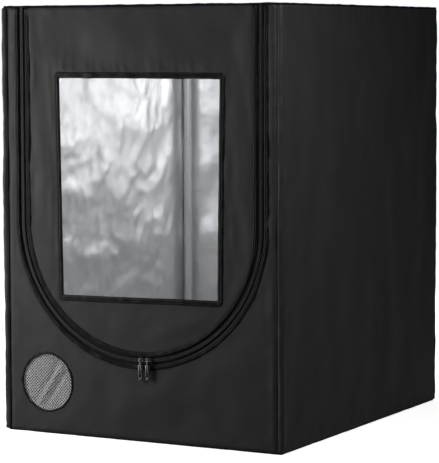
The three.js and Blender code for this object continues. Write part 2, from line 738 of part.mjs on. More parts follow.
function addCablePort() {
  const place = [PORT_X, BACK_Y, PORT_Z];
  const ring = circle(0, 0, PORT_RADIUS + PORT_RING_WIDTH);
  ring.holes.push(circle(0, 0, PORT_RADIUS, new THREE.Path()));
  const ringGeometry = uprightPlate(ring, BINDING_THICKNESS);
  add("cable_port_ring", ringGeometry, bindingCloth, [PORT_X, BACK_Y + GAP, PORT_Z]);
  add("cable_port_sleeve", sleeveGeometry(), coverCloth, place);

  const loopRadius = NECK_RADIUS + SLEEVE_WALL + CORD_RADIUS + 0.5;
  const cord = cordTube(new DrawcordCurve(loopRadius, TAIL_LENGTH, CORD_SPREAD), 50, CORD_RADIUS, 6);
  const cordPlace = [PORT_X, BACK_Y + NECK_Y, PORT_Z];
  add("cable_port_drawcord", cord, cordCloth, cordPlace);

  const lockPlace = [PORT_X, BACK_Y + NECK_Y, PORT_Z - loopRadius - LOCK_DROP];
  add("cord_lock_barrel", lockBarrelGeometry(), lockPlastic, lockPlace);
  add("cord_lock_plunger", lockPlungerGeometry(), lockPlastic, lockPlace);
  const springStart = LOCK_FLOOR + GAP + SPRING_WIRE;
  const springLength = LOCK_STEM_END - GAP - SPRING_WIRE - springStart;
  const springPath = new SpringCurve(SPRING_RADIUS, springStart, springLength, SPRING_COILS);
  const spring = cordTube(springPath, 50, SPRING_WIRE, 5);
  add("cord_lock_spring", spring, springSteel, lockPlace);
}

// ---------------------------------------------------------------- assembly

addConnectors();
addTubes();
addCover();
addDoor();
addZip();
addSliders();
addVent();
addCablePort();

export default tent;
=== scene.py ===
"""Printer enclosure tent: the finished looks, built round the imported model.

Metres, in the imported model's frame: +Z up, the door faces -Y, +X to the right of someone facing it.
"""

import math

import bmesh
import bpy
import numpy as np
from mathutils import Matrix, Vector
from mathutils.geometry import delaunay_2d_cdt


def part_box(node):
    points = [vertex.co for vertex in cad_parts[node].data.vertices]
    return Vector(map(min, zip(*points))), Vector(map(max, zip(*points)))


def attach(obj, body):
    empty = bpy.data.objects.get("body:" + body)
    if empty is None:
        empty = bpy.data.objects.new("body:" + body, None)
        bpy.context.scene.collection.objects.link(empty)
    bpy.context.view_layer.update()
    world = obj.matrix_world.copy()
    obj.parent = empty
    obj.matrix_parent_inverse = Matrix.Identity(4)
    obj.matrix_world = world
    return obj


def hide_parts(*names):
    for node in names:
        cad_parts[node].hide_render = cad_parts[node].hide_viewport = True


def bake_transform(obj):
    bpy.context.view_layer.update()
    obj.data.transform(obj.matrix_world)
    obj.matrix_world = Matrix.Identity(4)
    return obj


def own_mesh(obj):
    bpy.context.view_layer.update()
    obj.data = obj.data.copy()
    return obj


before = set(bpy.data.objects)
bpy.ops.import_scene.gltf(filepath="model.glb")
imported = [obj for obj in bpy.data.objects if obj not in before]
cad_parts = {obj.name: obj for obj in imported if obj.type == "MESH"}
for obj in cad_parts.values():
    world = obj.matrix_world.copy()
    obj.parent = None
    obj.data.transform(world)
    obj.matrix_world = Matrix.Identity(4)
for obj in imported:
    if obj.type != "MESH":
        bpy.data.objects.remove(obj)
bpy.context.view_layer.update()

MM = 0.001

# ---- sizes read from the frame


def middle(node):
    low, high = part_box(node)
    return (low + high) / 2


HALF_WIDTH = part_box("right_panel")[1].x
HALF_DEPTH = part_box("right_panel")[1].y
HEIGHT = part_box("roof_panel")[1].z
SEAM_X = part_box("right_panel")[0].x

ZIP_COVER_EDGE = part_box("cover_edge_binding")[1].x
ZIP_DOOR_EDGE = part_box("door_edge_binding")[1].x
ZIP_CENTRE_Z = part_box("cover_edge_binding")[0].z + ZIP_COVER_EDGE
BINDING_WIDTH = 8 * MM
ZIP_COVER_CLOTH = ZIP_COVER_EDGE - BINDING_WIDTH
ZIP_LINE = (ZIP_DOOR_EDGE + ZIP_COVER_CLOTH) / 2
ZIP_TOP = HEIGHT - 2.5 * MM

WINDOW_BAND = 10 * MM
WINDOW_CORNER = 3 * MM
WINDOW_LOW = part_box("window_binding")[0].z + WINDOW_BAND
WINDOW_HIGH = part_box("window_binding")[1].z - WINDOW_BAND
WINDOW_CENTRE = (0, (WINDOW_LOW + WINDOW_HIGH) / 2)
WINDOW_HALF = (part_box("window_binding")[1].x - WINDOW_BAND, (WINDOW_HIGH - WINDOW_LOW) / 2)

VENT_BAND = 4 * MM
VENT_SPOT = (middle("vent_ring").x, middle("vent_ring").z)
VENT_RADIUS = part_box("vent_ring")[1].x - VENT_SPOT[0] - VENT_BAND
VENT_SHOWN = VENT_RADIUS + 1.8 * MM
VENT_FOLD_ACROSS = np.array([0.83, -0.56])

PORT_BAND = 9 * MM
PORT_SPOT = (middle("cable_port_ring").x, middle("cable_port_ring").z)
PORT_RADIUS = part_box("cable_port_ring")[1].x - PORT_SPOT[0] - PORT_BAND

FOLD = 5 * MM
TOP_ROUND = 4.5 * MM
BOTTOM_ROUND = 4 * MM
COS_45 = math.cos(math.pi / 4)
# How close to a seam the cloth is painted darker, as painted shade in the seam's crease.
SEAM_SHADE_REACH = 2.6 * MM
HEM_Z = 11 * MM
TOP_SEAM_Z = HEIGHT - TOP_ROUND * (1 - COS_45)
BOTTOM_SEAM_Z = BOTTOM_ROUND * (1 - COS_45)
LINING_DEPTH = 1.1 * MM

FRONT_STEP = 5 * MM
SIDE_STEP = 6 * MM
COARSE_STEP = 7 * MM

# ---- noise

GRADIENTS = np.random.default_rng(7).normal(size=(256, 3))
GRADIENTS /= np.linalg.norm(GRADIENTS, axis=1)[:, None]


def noise(points, size, seed=0):
    """Smooth noise from about -1 to 1 at each point, with features `size` metres across.

    `size` may be three numbers, one for each axis."""
    p = np.asarray(points, float) / np.asarray(size, float) + 31.7 * (seed + 1)
    cell = np.floor(p).astype(np.int64)
    f = p - cell
    u = f * f * f * (f * (f * 6 - 15) + 10)
    total = np.zeros(len(p))
    for corner in range(8):
        step = np.array([corner & 1, corner >> 1 & 1, corner >> 2 & 1])
        c = cell + step
        key = (c[:, 0] * 73856093) ^ (c[:, 1] * 19349663) ^ (c[:, 2] * 83492791) ^ (seed * 2654435)
        gradient = GRADIENTS[np.abs(key) % 256]
        weight = np.prod(np.where(step == 1, u, 1 - u), axis=1)
        total += weight * np.sum(gradient * (f - step), axis=1)
    return total * 1.7


def ridges(points, size, seed):
    """Creases: 1 along sharp lines and about 0 between them."""
    return 1 - np.minimum(1, np.abs(noise(points, size, seed)) * 2.2)


def fade(value, start, end):
    """0 before start and 1 after end, smooth between."""
    t = np.clip((np.asarray(value, float) - start) / (end - start), 0, 1)
    return t * t * (3 - 2 * t)


# ---- mesh helpers


def make_object(name, points, faces, materials, face_materials=None, smooth=True):
    mesh = bpy.data.meshes.new(name)
    mesh.from_pydata([tuple(p) for p in points], [], [tuple(int(i) for i in f) for f in faces])
    for item in materials:
        mesh.materials.append(item)
    if face_materials is not None:
        mesh.polygons.foreach_set("material_index", np.asarray(face_materials, np.int32))
    mesh.polygons.foreach_set("use_smooth", np.full(len(mesh.polygons), smooth))
    mesh.validate()
    mesh.update()
    piece = bpy.data.objects.new(name, mesh)
    bpy.context.scene.collection.objects.link(piece)
    return piece


def finish_piece(piece, body, slot, *nodes):
    """Puts a piece on its body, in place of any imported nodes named."""
    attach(piece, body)
    if nodes:
        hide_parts(*nodes)
    return piece


def recalculate(piece):
    """Turns every face of a closed piece outwards."""
    work = bmesh.new()
    work.from_mesh(piece.data)
    bmesh.ops.recalc_face_normals(work, faces=work.faces)
    work.to_mesh(piece.data)
    work.free()
    return piece


def make_solid(name, points, faces, materials, slots=None):
    return recalculate(make_object(name, points, faces, materials, slots))


def spread(start, end, step):
    """Evenly spaced values from start to end, about `step` apart, both ends included."""
    return np.linspace(start, end, max(2, int(round(abs(end - start) / step)) + 1))


def rim_edges(faces):
    """The open edges of a sheet, each in its face's own direction."""
    seen = {}
    for face in faces:
        for a, b in zip(face, face[1:] + face[:1]):
            if (b, a) in seen:
                del seen[(b, a)]
            else:
                seen[(a, b)] = True
    return list(seen)


def make_shell(name, outer, inner, faces, materials, seam=None):
    """A closed sheet: `faces` on the outer points, the same reversed on the inner, and a rim.

    Faces whose points are all in `seam` take the third material outside, which paints shade along the
    seams' creases."""
    faces = [tuple(int(i) for i in face) for face in faces]
    count = len(outer)
    back = [tuple(i + count for i in reversed(face)) for face in faces]
    rim = [(b, a, a + count, b + count) for a, b in rim_edges(faces)]
    front = [2 if seam is not None and seam[list(face)].all() else 0 for face in faces]
    slots = front + [1] * len(back) + [0] * len(rim)
    return make_object(name, np.vstack([outer, inner]), faces + back + rim, materials, slots)


def grid_faces(columns, rows):
    """Quads on points stored row by row, facing the side that column-cross-row points to."""
    index = np.arange(columns * rows).reshape(rows, columns)
    a, b = index[:-1, :-1], index[:-1, 1:]
    c, d = index[1:, 1:], index[1:, :-1]
    return np.stack([a, b, c, d], axis=-1).reshape(-1, 4).tolist()


def upright_sheet(low, high, step):
    """A grid of points on the plane y = low's y, row by row from low to high, and its quads."""
    across, up = spread(low[0], high[0], step), spread(low[2], high[2], step)
    points = np.array([(x, low[1], z) for z in up for x in across])
    return points, grid_faces(len(across), len(up))


def ring_faces(rings, per, first=0, closed=False):
    """Quads between rings of `per` points each; unless closed, a cap on both end rings."""
    faces = []
    for i in range(rings if closed else rings - 1):
        here, there = first + i * per, first + (i + 1) % rings * per
        for j in range(per):
            k = (j + 1) % per
            faces.append((here + j, here + k, there + k, there + j))
    if not closed:
        last = first + (rings - 1) * per
        faces.append(tuple(first + j for j in reversed(range(per))))
        faces.append(tuple(last + j for j in range(per)))
    return faces


def sweep(name, frames, section, material, closed):
    """A closed solid: section(i)'s outline carried along a path.

    frames holds the path's points, sideways unit vectors and outward unit vectors. An outline is
    (sideways, outward) pairs, anticlockwise seen from the path's start looking along it."""
    path, side, out = frames
    rings = []
    for i in range(len(path)):
        shape = np.asarray(section(i))
        rings.append(path[i] + shape[:, :1] * side[i] + shape[:, 1:] * out[i])
    faces = ring_faces(len(rings), len(rings[0]), 0, closed)
    return make_solid(name, np.vstack(rings), faces, [material])


def tube_along(name, path, radii, material, sides, closed=False):
    """A round solid tube along a path, with its radius given once or for each point."""
    ahead = np.roll(path, -1, axis=0) - np.roll(path, 1, axis=0)
    if not closed:
        ahead[0] = path[1] - path[0]
        ahead[-1] = path[-1] - path[-2]
    ahead /= np.linalg.norm(ahead, axis=1)[:, None]
    side = np.zeros_like(path)
    reference = np.array([0.0, 0.0, 1.0]) if abs(ahead[0][2]) < 0.9 else np.array([0.0, 1.0, 0.0])
    for i, direction in enumerate(ahead):
        reference = reference - direction * (reference @ direction)
        reference /= np.linalg.norm(reference)
        side[i] = reference
    angles = np.linspace(0, 2 * np.pi, sides, endpoint=False)
    ring = np.stack([np.cos(angles), np.sin(angles)], axis=1)
    radii = np.broadcast_to(radii, len(path))
    frames = path, side, np.cross(ahead, side)
    return sweep(name, frames, lambda i: ring * radii[i], material, closed)


def small_bars(name, stations, sides, ring, material):
    """Many small closed bars as one piece: ring(station, angle) gives that point of every bar."""
    angles = np.linspace(0, 2 * np.pi, sides, endpoint=False)
    cloud = np.stack([ring(station, a) for station in stations for a in angles], axis=1)
    count, size = cloud.shape[:2]
    faces = []
    for first in range(0, count * size, size):
        faces += ring_faces(len(stations), sides, first)
    return make_solid(name, cloud.reshape(-1, 3), faces, [material])


# ---- material helpers


def feed(slot, source):
    """Links a node's input to another node's output, or sets it to a plain value."""
    if isinstance(source, bpy.types.NodeSocket):
        slot.id_data.links.new(source, slot)
    else:
        slot.default_value = source


def add_node(tree, kind, inputs, **settings):
    """A new shader node, its settings made and its inputs fed; gives its outputs."""
    made = tree.nodes.new("ShaderNode" + kind)
    for key, item in settings.items():
        setattr(made, key, item)
    for slot, item in inputs.items():
        feed(made.inputs[slot], item)
    return made.outputs


def new_material(name):
    """A material with its node tree, its surface's inputs and the piece's own coordinates."""
    made = bpy.data.materials.new(name)
    made.use_nodes = True
    tree = made.node_tree
    return made, tree, tree.nodes["Principled BSDF"].inputs, add_node(tree, "TexCoord", {})["Object"]


def maths(tree, kind, *values):
    return add_node(tree, "Math", dict(enumerate(values)), operation=kind)[0]


def clouds_node(tree, place, scale, detail, rough=0.5):
    inputs = {"Vector": place, "Scale": scale, "Detail": detail, "Roughness": rough}
    return add_node(tree, "TexNoise", inputs)[0]


def ramp(tree, source, low, high):
    """Maps 0..1 to low..high."""
    return add_node(tree, "MapRange", {"Value": source, "To Min": low, "To Max": high})["Result"]


def tint(tree, factor, dark, light):
    inputs = {"Factor": factor, "A": (*dark, 1), "B": (*light, 1)}
    return add_node(tree, "Mix", inputs, data_type="RGBA")["Result"]


def bump(tree, height, distance, strength, below=None):
    inputs = {"Distance": distance, "Strength": strength, "Height": height}
    if below is not None:
        inputs["Normal"] = below
    return add_node(tree, "Bump", inputs)["Normal"]


def weave(tree, place, axes, pitch):
    """A plain weave's height: threads over and under along the two named axes."""
    split = add_node(tree, "SeparateXYZ", {0: place})
    turned = [maths(tree, "MULTIPLY", split[axis], math.pi / pitch) for axis in axes]
    return maths(tree, "MULTIPLY", *[maths(tree, "SINE", item) for item in turned])


def scaled(colour, share):
    return [share * c for c in colour]


# ---- materials


def cloth_material(name, base, axes=("X", "Z"), pitch=0.8 * MM, rough=0.62, sheen=0.12, specular=0.45):
    made, tree, surface, place = new_material(name)
    clouds = clouds_node(tree, place, 15.0, 6.0, 0.65)
    lint = clouds_node(tree, place, 850.0, 2.0)
    mixed = maths(tree, "ADD", maths(tree, "MULTIPLY", clouds, 0.6), maths(tree, "MULTIPLY", lint, 0.4))
    feed(surface["Base Color"], tint(tree, mixed, scaled(base, 0.62), scaled(base, 1.38)))
    feed(surface["Roughness"], ramp(tree, clouds, rough - 0.1, rough + 0.12))
    feed(surface["Sheen Weight"], sheen)
    feed(surface["Sheen Roughness"], 0.45)
    feed(surface["Specular IOR Level"], specular)
    fine = bump(tree, weave(tree, place, axes, pitch), 0.05 * MM, 0.6)
    creases = clouds_node(tree, place, 38.0, 5.0, 0.55)
    feed(surface["Normal"], bump(tree, creases, 0.9 * MM, 0.5, fine))
    return made


def foil_material(name, metallic=0.86, shade=1.0):
    """Crumpled metallised film: broad facets, fine creases and soft dents; its last argument scales the
    whole colour down, as painted shade.
    """
    made, tree, surface, place = new_material(name)
    warp = add_node(tree, "TexNoise", {"Vector": place, "Scale": 6.0, "Detail": 3.0})["Color"]
    inputs = {0: warp, 1: (0.09, 0.09, 0.09), 2: place}
    bent = add_node(tree, "VectorMath", inputs, operation="MULTIPLY_ADD")[0]
    facets = add_node(tree, "TexVoronoi", {"Vector": bent, "Scale": 9.0})["Distance"]
    fine = add_node(tree, "TexVoronoi", {"Vector": bent, "Scale": 44.0})["Distance"]
    soft = clouds_node(tree, place, 9.0, 6.0, 0.62)
    # The given share darkens the whole colour as painted shade; the vent flap's foil is made darker this
    # way so that the net's holes look shadowed.
    dull = scaled((0.60, 0.605, 0.615), shade)
    bright = scaled((0.88, 0.88, 0.885), shade)
    feed(surface["Base Color"], tint(tree, soft, dull, bright))
    feed(surface["Metallic"], metallic)
    feed(surface["Roughness"], ramp(tree, soft, 0.30, 0.48))
    first = bump(tree, facets, 8 * MM, 0.5)
    second = bump(tree, fine, 0.9 * MM, 0.4, first)
    feed(surface["Normal"], bump(tree, soft, 3 * MM, 0.4, second))
    return made


def clear_material(name):
    """Thin clear vinyl: see-through, with a rippled gloss that grows towards its edges."""
    made, tree, _, place = new_material(name)
    normal = bump(tree, clouds_node(tree, place, 11.0, 3.0), 2.5 * MM, 0.35)
    gloss = add_node(tree, "BsdfGlossy", {"Roughness": 0.06, "Normal": normal})[0]
    clear = add_node(tree, "BsdfTransparent", {"Color": (0.975, 0.98, 0.985, 1)})[0]
    edge = add_node(tree, "Fresnel", {"IOR": 1.35, "Normal": normal})[0]
    mix = add_node(tree, "MixShader", {0: edge, 1: clear, 2: gloss})[0]
    feed(tree.nodes["Material Output"].inputs["Surface"], mix)
    tree.nodes.remove(tree.nodes["Principled BSDF"])
    return made


def plastic_material(name, base, rough, grain):
    made, tree, surface, place = new_material(name)
    spark = clouds_node(tree, place, 1400.0, 2.0)
    cloud = clouds_node(tree, place, 60.0, 3.0)
    feed(surface["Base Color"], tint(tree, cloud, base, scaled(base, 1.35)))
    feed(surface["Roughness"], ramp(tree, cloud, rough - 0.08, rough + 0.1))
    feed(surface["Normal"], bump(tree, spark, 0.12 * MM, grain))
    return made


def metal_material(name, base, rough, metallic=1.0, scratches=0.12):
    made, tree, surface, place = new_material(name)
    cloud = clouds_node(tree, place, 240.0, 5.0)
    feed(surface["Base Color"], tint(tree, cloud, scaled(base, 0.7), base))
    feed(surface["Metallic"], metallic)
    feed(surface["Roughness"], ramp(tree, cloud, rough - 0.08, rough + 0.14))
    feed(surface["Normal"], bump(tree, cloud, 0.1 * MM, scratches))
    return made


UPRIGHT = ("X", "Z")
BLACK = (0.0205, 0.0205, 0.0226)
cloth_front = cloth_material("cover_cloth_front", BLACK)
cloth_side = cloth_material("cover_cloth_side", BLACK, ("Y", "Z"))
cloth_flat = cloth_material("cover_cloth_flat", BLACK, ("X", "Y"))
# A cloth four times darker than the cover: painted shade in the seams' creases, and the roof's piping,
# which is made of it as well.
piping_and_seam_shade_cloth = cloth_material("piping_and_seam_shade_cloth", (0.005, 0.005, 0.0055), UPRIGHT, 1.0 * MM, 0.8, 0.04, 0.15)
binding = cloth_material("binding_cloth", (0.0035, 0.0035, 0.0038), UPRIGHT, 1.1 * MM, 0.42, 0.02, 0.20)
tape_cloth = cloth_material("zip_tape_cloth", (0.006, 0.006, 0.0065), UPRIGHT, 1.2 * MM, 0.7, 0.1, 0.3)
thread = cloth_material("thread", (0.030, 0.030, 0.031), UPRIGHT, 0.5 * MM, 0.4, 0.2)
net_cloth = cloth_material("vent_net_cloth", (0.78, 0.785, 0.80), UPRIGHT, 0.6 * MM, 0.42, 0.1)
hook_cloth = cloth_material("hook_and_loop", (0.012, 0.012, 0.013), UPRIGHT, 0.7 * MM, 0.9, 0.4)
cord_cloth = cloth_material("cord_braid", (0.014, 0.014, 0.015), UPRIGHT, 0.9 * MM, 0.7, 0.3)
foil = foil_material("foil_lining")
# The flap's foil, at about a fifth of the lining's brightness: painted shade, seen through the vent net's
# holes.
flap_foil_painted_dark = foil_material("flap_foil_painted_dark", 0.95, 0.22)
sleeve_inside = cloth_material("sleeve_inside", (0.03, 0.03, 0.031))
clear_sheet = clear_material("clear_sheet")
coil_plastic = plastic_material("zip_coil_nylon", (0.010, 0.010, 0.011), 0.38, 0.05)
connector_plastic = plastic_material("connector_plastic", (0.016, 0.016, 0.017), 0.5, 0.4)
lock_plastic = plastic_material("lock_plastic", (0.013, 0.013, 0.014), 0.36, 0.15)
zip_metal = metal_material("zip_metal", (0.15, 0.15, 0.155), 0.24)
tube_paint = metal_material("tube_paint", (0.40, 0.405, 0.41), 0.38, 0.15, 0.2)
spring_steel = metal_material("spring_steel", (0.55, 0.56, 0.57), 0.25)

# ---- the cover's form


def edge_profile(z):
    """For heights on a wall: how far the wall stands in from its plane, and its upward tilt.

    The wall rolls over to 45 degrees at the roof's seam and at the floor's seam."""
    z = np.asarray(z, float)
    high = np.clip(z - (HEIGHT - TOP_ROUND), 0, TOP_ROUND)
    low = np.clip(BOTTOM_ROUND - z, 0, BOTTOM_ROUND)
    inset = TOP_ROUND - np.sqrt(TOP_ROUND**2 - high**2)
    inset = inset + BOTTOM_ROUND - np.sqrt(BOTTOM_ROUND**2 - low**2)
    tilt = np.arcsin(high / TOP_ROUND) - np.arcsin(low / BOTTOM_ROUND)
    return inset, tilt


def wall_heights(step):
    top = [HEIGHT - TOP_ROUND * (1 - math.sin(math.radians(a))) for a in (0, 15, 30, 45)]
    bottom = [BOTTOM_ROUND * (1 - math.sin(math.radians(a))) for a in (45, 22, 0)]
    return np.concatenate([bottom, spread(bottom[-1], top[0], step)[1:-1], top])


def relief(points, gap, calm=0.0):
    """How far cloth stands out from its smooth form: slack, soft folds, and puckers at seams.

    gap is the distance to the nearest seam; calm, from 0 to 1, flattens the slack."""
    slack = 3.6 * MM * noise(points, 0.26, 1) + 3.0 * MM * noise(points, (0.075, 0.075, 0.12), 2)
    slack = slack + 0.7 * MM * noise(points, 0.04, 3)
    slack = slack * fade(gap, 0, 70 * MM) * (1 - calm)
    pucker = noise(points, 0.019, 4) + 0.8 * noise(points, 0.045, 5)
    near = np.exp(-gap / (15 * MM)) * (1 - np.exp(-((gap / (3 * MM)) ** 2)))
    roll = 1.5 * MM * near * (0.7 + pucker)
    groove = (1.5 + 0.5 * noise(points, 0.02, 6)) * MM * np.exp(-((gap / (2.0 * MM)) ** 2))
    return slack + roll - groove


def crumple(points, amount):
    """How far the foil face stands in from the cloth: broad facets with sharp creases."""
    broad = ridges(points, 0.11, 11) * 0.6 + ridges(points, 0.055, 12) * 0.3
    fine = ridges(points, 0.027, 13) * 0.22 + 0.5 * (noise(points, 0.19, 14) + 1)
    return amount * (broad + fine)


def topstitch(points, run, depth):
    """A sewn line's dent, where run is the distance from it; uneven along its length."""
    uneven = 0.7 + 0.6 * noise(points, 0.03, 9)
    return -depth * uneven * np.exp(-((run / (1.6 * MM)) ** 2))


def hem(points):
    return topstitch(points, np.abs(points[:, 2] - HEM_Z), 1.6 * MM)


def streaks(points, trim, reach, seed):
    """Long wrinkles beside an upright seam, where trim is the distance from it."""
    near = np.exp(-np.maximum(trim, 0) / reach) * fade(trim, 0, 3 * MM)
    long = noise(points, (0.009, 0.009, 0.10), seed) + 0.6 * noise(points, (0.005, 0.005, 0.05), seed + 1)
    return near * long


def sewn_panel(name, node, form, gap, shift, outside, foil_amount, seam=SEAM_SHADE_REACH):
    """A panel shifted along its normals: cloth outside, crumpled foil inside, closed at its edges; its
    cloth near a seam is a darker cloth, painted shade in the seam's crease.
    """
    points, normals, faces = form
    outer = points + normals * shift[:, None]
    inner = outer - normals * (LINING_DEPTH + crumple(points, foil_amount))[:, None]
    piece = make_shell(name, outer, inner, faces, [outside, foil, piping_and_seam_shade_cloth], gap < seam)
    return finish_piece(piece, "tent", "cover_cloth", node) if node else piece


def side_wall(name, sign, node):
    """A side panel, wrapped round both upright corners to the seams on the front and back."""
    bend_x = HALF_WIDTH - FOLD
    bend_y = HALF_DEPTH - FOLD
    front_half = [(x, -HALF_DEPTH, 0, -1) for x in spread(SEAM_X, bend_x, 1.7 * MM)[:-1]]
    for a in np.linspace(0, math.pi / 2, 7):
        out_x, out_y = math.sin(a), -math.cos(a)
        front_half.append((bend_x + FOLD * out_x, -bend_y + FOLD * out_y, out_x, out_y))
    flat = [(HALF_WIDTH, y, 1, 0) for y in spread(-bend_y, bend_y, SIDE_STEP)[1:-1]]
    back_half = [(x, -y, out_x, -out_y) for x, y, out_x, out_y in reversed(front_half)]
    plan = np.array(front_half + flat + back_half)
    spots, out = plan[None, :, :2], plan[None, :, 2:]
    heights = wall_heights(SIDE_STEP)
    inset, tilt = (item[:, None, None] for item in edge_profile(heights))
    rows, columns = len(heights), len(plan)
    level = np.broadcast_to(heights[:, None, None], (rows, columns, 1))
    rise = np.broadcast_to(np.sin(tilt), (rows, columns, 1))
    points = np.dstack([spots - out * inset, level]).reshape(-1, 3)
    normals = np.dstack([out * np.cos(tilt), rise]).reshape(-1, 3)
    faces = grid_faces(columns, rows)
    if sign < 0:
        points[:, 0] *= -1
        normals[:, 0] *= -1
        faces = [face[::-1] for face in faces]

    run = np.concatenate([[0], np.cumsum(np.linalg.norm(np.diff(plan[:, :2], axis=0), axis=1))])
    beside = np.tile(np.minimum(run, run[-1] - run), rows)
    above = np.repeat(np.minimum(heights - BOTTOM_SEAM_Z, TOP_SEAM_Z - heights), columns)
    beside, above = np.maximum(beside, 0), np.maximum(above, 0)
    gap = np.minimum(beside, above)
    shift = relief(points, gap, 0.4) + hem(points)
    shift = shift + topstitch(points, np.abs(HALF_DEPTH - 9 * MM - np.abs(points[:, 1])), 0.9 * MM)
    shift = shift + 2.4 * MM * streaks(points, beside, 14 * MM, 19) * fade(above, 0, 20 * MM)
    high = fade(points[:, 2], 0.5 * HEIGHT, 0.7 * HEIGHT)
    shift = shift + 0.8 * MM * high * streaks(points, above, 30 * MM, 23)
    if sign < 0:
        shift = shift + 3.0 * MM * fade(beside, 1 * MM, 10 * MM) * fade(above, 0, 3 * MM)
    foil_amount = 4.2 * MM * fade(gap, 12 * MM, 90 * MM)
    return sewn_panel(name, node, (points, normals, faces), gap, shift, cloth_side, foil_amount)


def zip_gap(spots, radius):
    """Distance outside a line that runs down both legs and round the end (negative inside)."""
    x, z = spots[:, 0], spots[:, 1]
    round_end = np.hypot(x, z - ZIP_CENTRE_Z) - radius
    return np.where(z > ZIP_CENTRE_Z, np.abs(x) - radius, round_end)


def box_gap(spots, centre, half, corner):
    """Distance outside a rounded rectangle (negative inside)."""
    reach = np.abs(np.asarray(spots) - np.asarray(centre)) - (np.asarray(half) - corner)
    outside = np.hypot(*np.maximum(reach, 0).T)
    return outside + np.minimum(reach.max(axis=1), 0) - corner


def circle_gap(spots, centre, radius):
    return np.hypot(*(spots - np.asarray(centre)).T) - radius


def triangulate(loops, loose, room):
    """Fills the region inside the loops, through the loose points, where room(spots) > 0."""
    spots, edges = [], []
    for loop in loops:
        first = len(spots)
        spots += [tuple(p) for p in loop]
        edges += [(first + i, first + (i + 1) % len(loop)) for i in range(len(loop))]
    spots += [tuple(p) for p in loose]
    made = delaunay_2d_cdt([Vector(p) for p in spots], edges, [], 0, 1e-7)
    points = np.array([tuple(v) for v in made[0]])
    faces = np.array([tuple(f) for f in made[2]])
    faces = faces[room(points[faces].mean(axis=1)) > 0]
    used = np.unique(faces)
    renumber = np.full(len(points), -1)
    renumber[used] = np.arange(len(used))
    return points[used], renumber[faces].tolist()


def u_line(radius, top, step=FRONT_STEP):
    """Spots from the left leg's top, down, round the end and up to the right leg's top."""
    drop = spread(top, ZIP_CENTRE_Z, step)
    turn = np.linspace(math.pi, 2 * math.pi, int(math.pi * radius / step) + 1)[1:-1]
    left = [(-radius, z) for z in drop]
    end = [(radius * math.cos(a), ZIP_CENTRE_Z + radius * math.sin(a)) for a in turn]
    right = [(radius, z) for z in drop[::-1]]
    return left + end + right


def ring_line(centre, radius, step=4 * MM):
    turn = np.linspace(0, 2 * math.pi, int(2 * math.pi * radius / step), endpoint=False)
    return [(centre[0] + radius * math.cos(a), centre[1] + radius * math.sin(a)) for a in turn]


def corner_arc(quarter, centre, half, corner):
    """Seven spots round one corner of a rounded rectangle, anticlockwise from the low right one."""
    side = np.array(((1, -1), (1, 1), (-1, 1), (-1, -1))[quarter])
    x, z = np.array(centre) + side * (np.array(half) - corner)
    angles = np.linspace(0, math.pi / 2, 7) + (quarter - 1) * math.pi / 2
    return [(x + corner * math.cos(a), z + corner * math.sin(a)) for a in angles]


def rounded_line(centre, half, corner, step=FRONT_STEP):
    """Anticlockwise spots round a rounded rectangle."""
    spots = [spot for quarter in range(4) for spot in corner_arc(quarter, centre, half, corner)]
    filled = []
    for here, there in zip(spots, spots[1:] + spots[:1]):
        count = max(1, int(round(math.dist(here, there) / step)))
        filled += [tuple(np.array(here) + (np.array(there) - here) * i / count) for i in range(count)]
    return filled


def skew(spots):
    """The window as it was sewn: a little wider at the top, its sill dipping to the left."""
    spots = np.asarray(spots, float)
    drop = (WINDOW_HIGH - spots[:, 1]) / (WINDOW_HIGH - WINDOW_LOW)
    x = spots[:, 0] * (1.022 - 0.036 * drop)
    z = spots[:, 1] + 2.6 * MM * drop * spots[:, 0] / WINDOW_HALF[0]
    return np.column_stack([x, z])


def window_gap(spots, reach=0.0, corner=WINDOW_CORNER):
    """Distance outside the sewn window's outline, grown by reach."""
    straight = spots.copy()
    for _ in range(3):
        straight = straight + spots - skew(straight)
    return box_gap(straight, WINDOW_CENTRE, np.array(WINDOW_HALF) + reach, corner)


def wall_form(loops, room, half_width, heights, step, facing):
    """Fills the loops on the front (facing -1) or back (+1) wall: its spots, and its form."""
    grid = np.array([(x, z) for z in heights for x in spread(-half_width, half_width, step)])
    spots, faces = triangulate(loops, grid[room(grid) > step / 2], room)
    inset, tilt = edge_profile(spots[:, 1])
    points = np.column_stack([spots[:, 0], facing * (HALF_DEPTH - inset), spots[:, 1]])
    normals = np.column_stack([np.zeros(len(spots)), facing * np.cos(tilt), np.sin(tilt)])
    if facing > 0:
        faces = [face[::-1] for face in faces]
    return spots, (points, normals, faces)


def level_edge(low_x, high_x, z):
    return [(x, z) for x in spread(low_x, high_x, FRONT_STEP)]


def upright_edge(x, heights):
    return [(x, z) for z in heights]


def chain(*runs):
    """Joins runs end to end into a loop; each run ends where the next one starts."""
    return [spot for run in runs for spot in run[:-1]]


def seam_gap(spots):
    """Distance in from the four seams of the front or back wall."""
    rise = np.minimum(spots[:, 1] - BOTTOM_SEAM_Z, TOP_SEAM_Z - spots[:, 1])
    return np.maximum(np.minimum(SEAM_X - np.abs(spots[:, 0]), rise), 0)


def front_relief(points, gap, trim, calm):
    """The usual relief, with extra puckers and streaks where trim is sewn on."""
    shift = relief(points, gap, calm) + hem(points)
    pull = np.exp(-np.maximum(trim, 0) / (16 * MM)) * fade(trim, 0, 4 * MM)
    shift = shift + 1.1 * MM * pull * (noise(points, 0.021, 7) + 0.5 * noise(points, 0.04, 8))
    upright = fade(points[:, 2], 0.25, 0.45) * fade(TOP_SEAM_Z - points[:, 2], 0, 20 * MM)
    shift = shift + 2.4 * MM * upright * streaks(points, trim, 14 * MM, 15)
    return shift + 1.9 * MM * streaks(points, SEAM_X - np.abs(points[:, 0]), 9 * MM, 17)


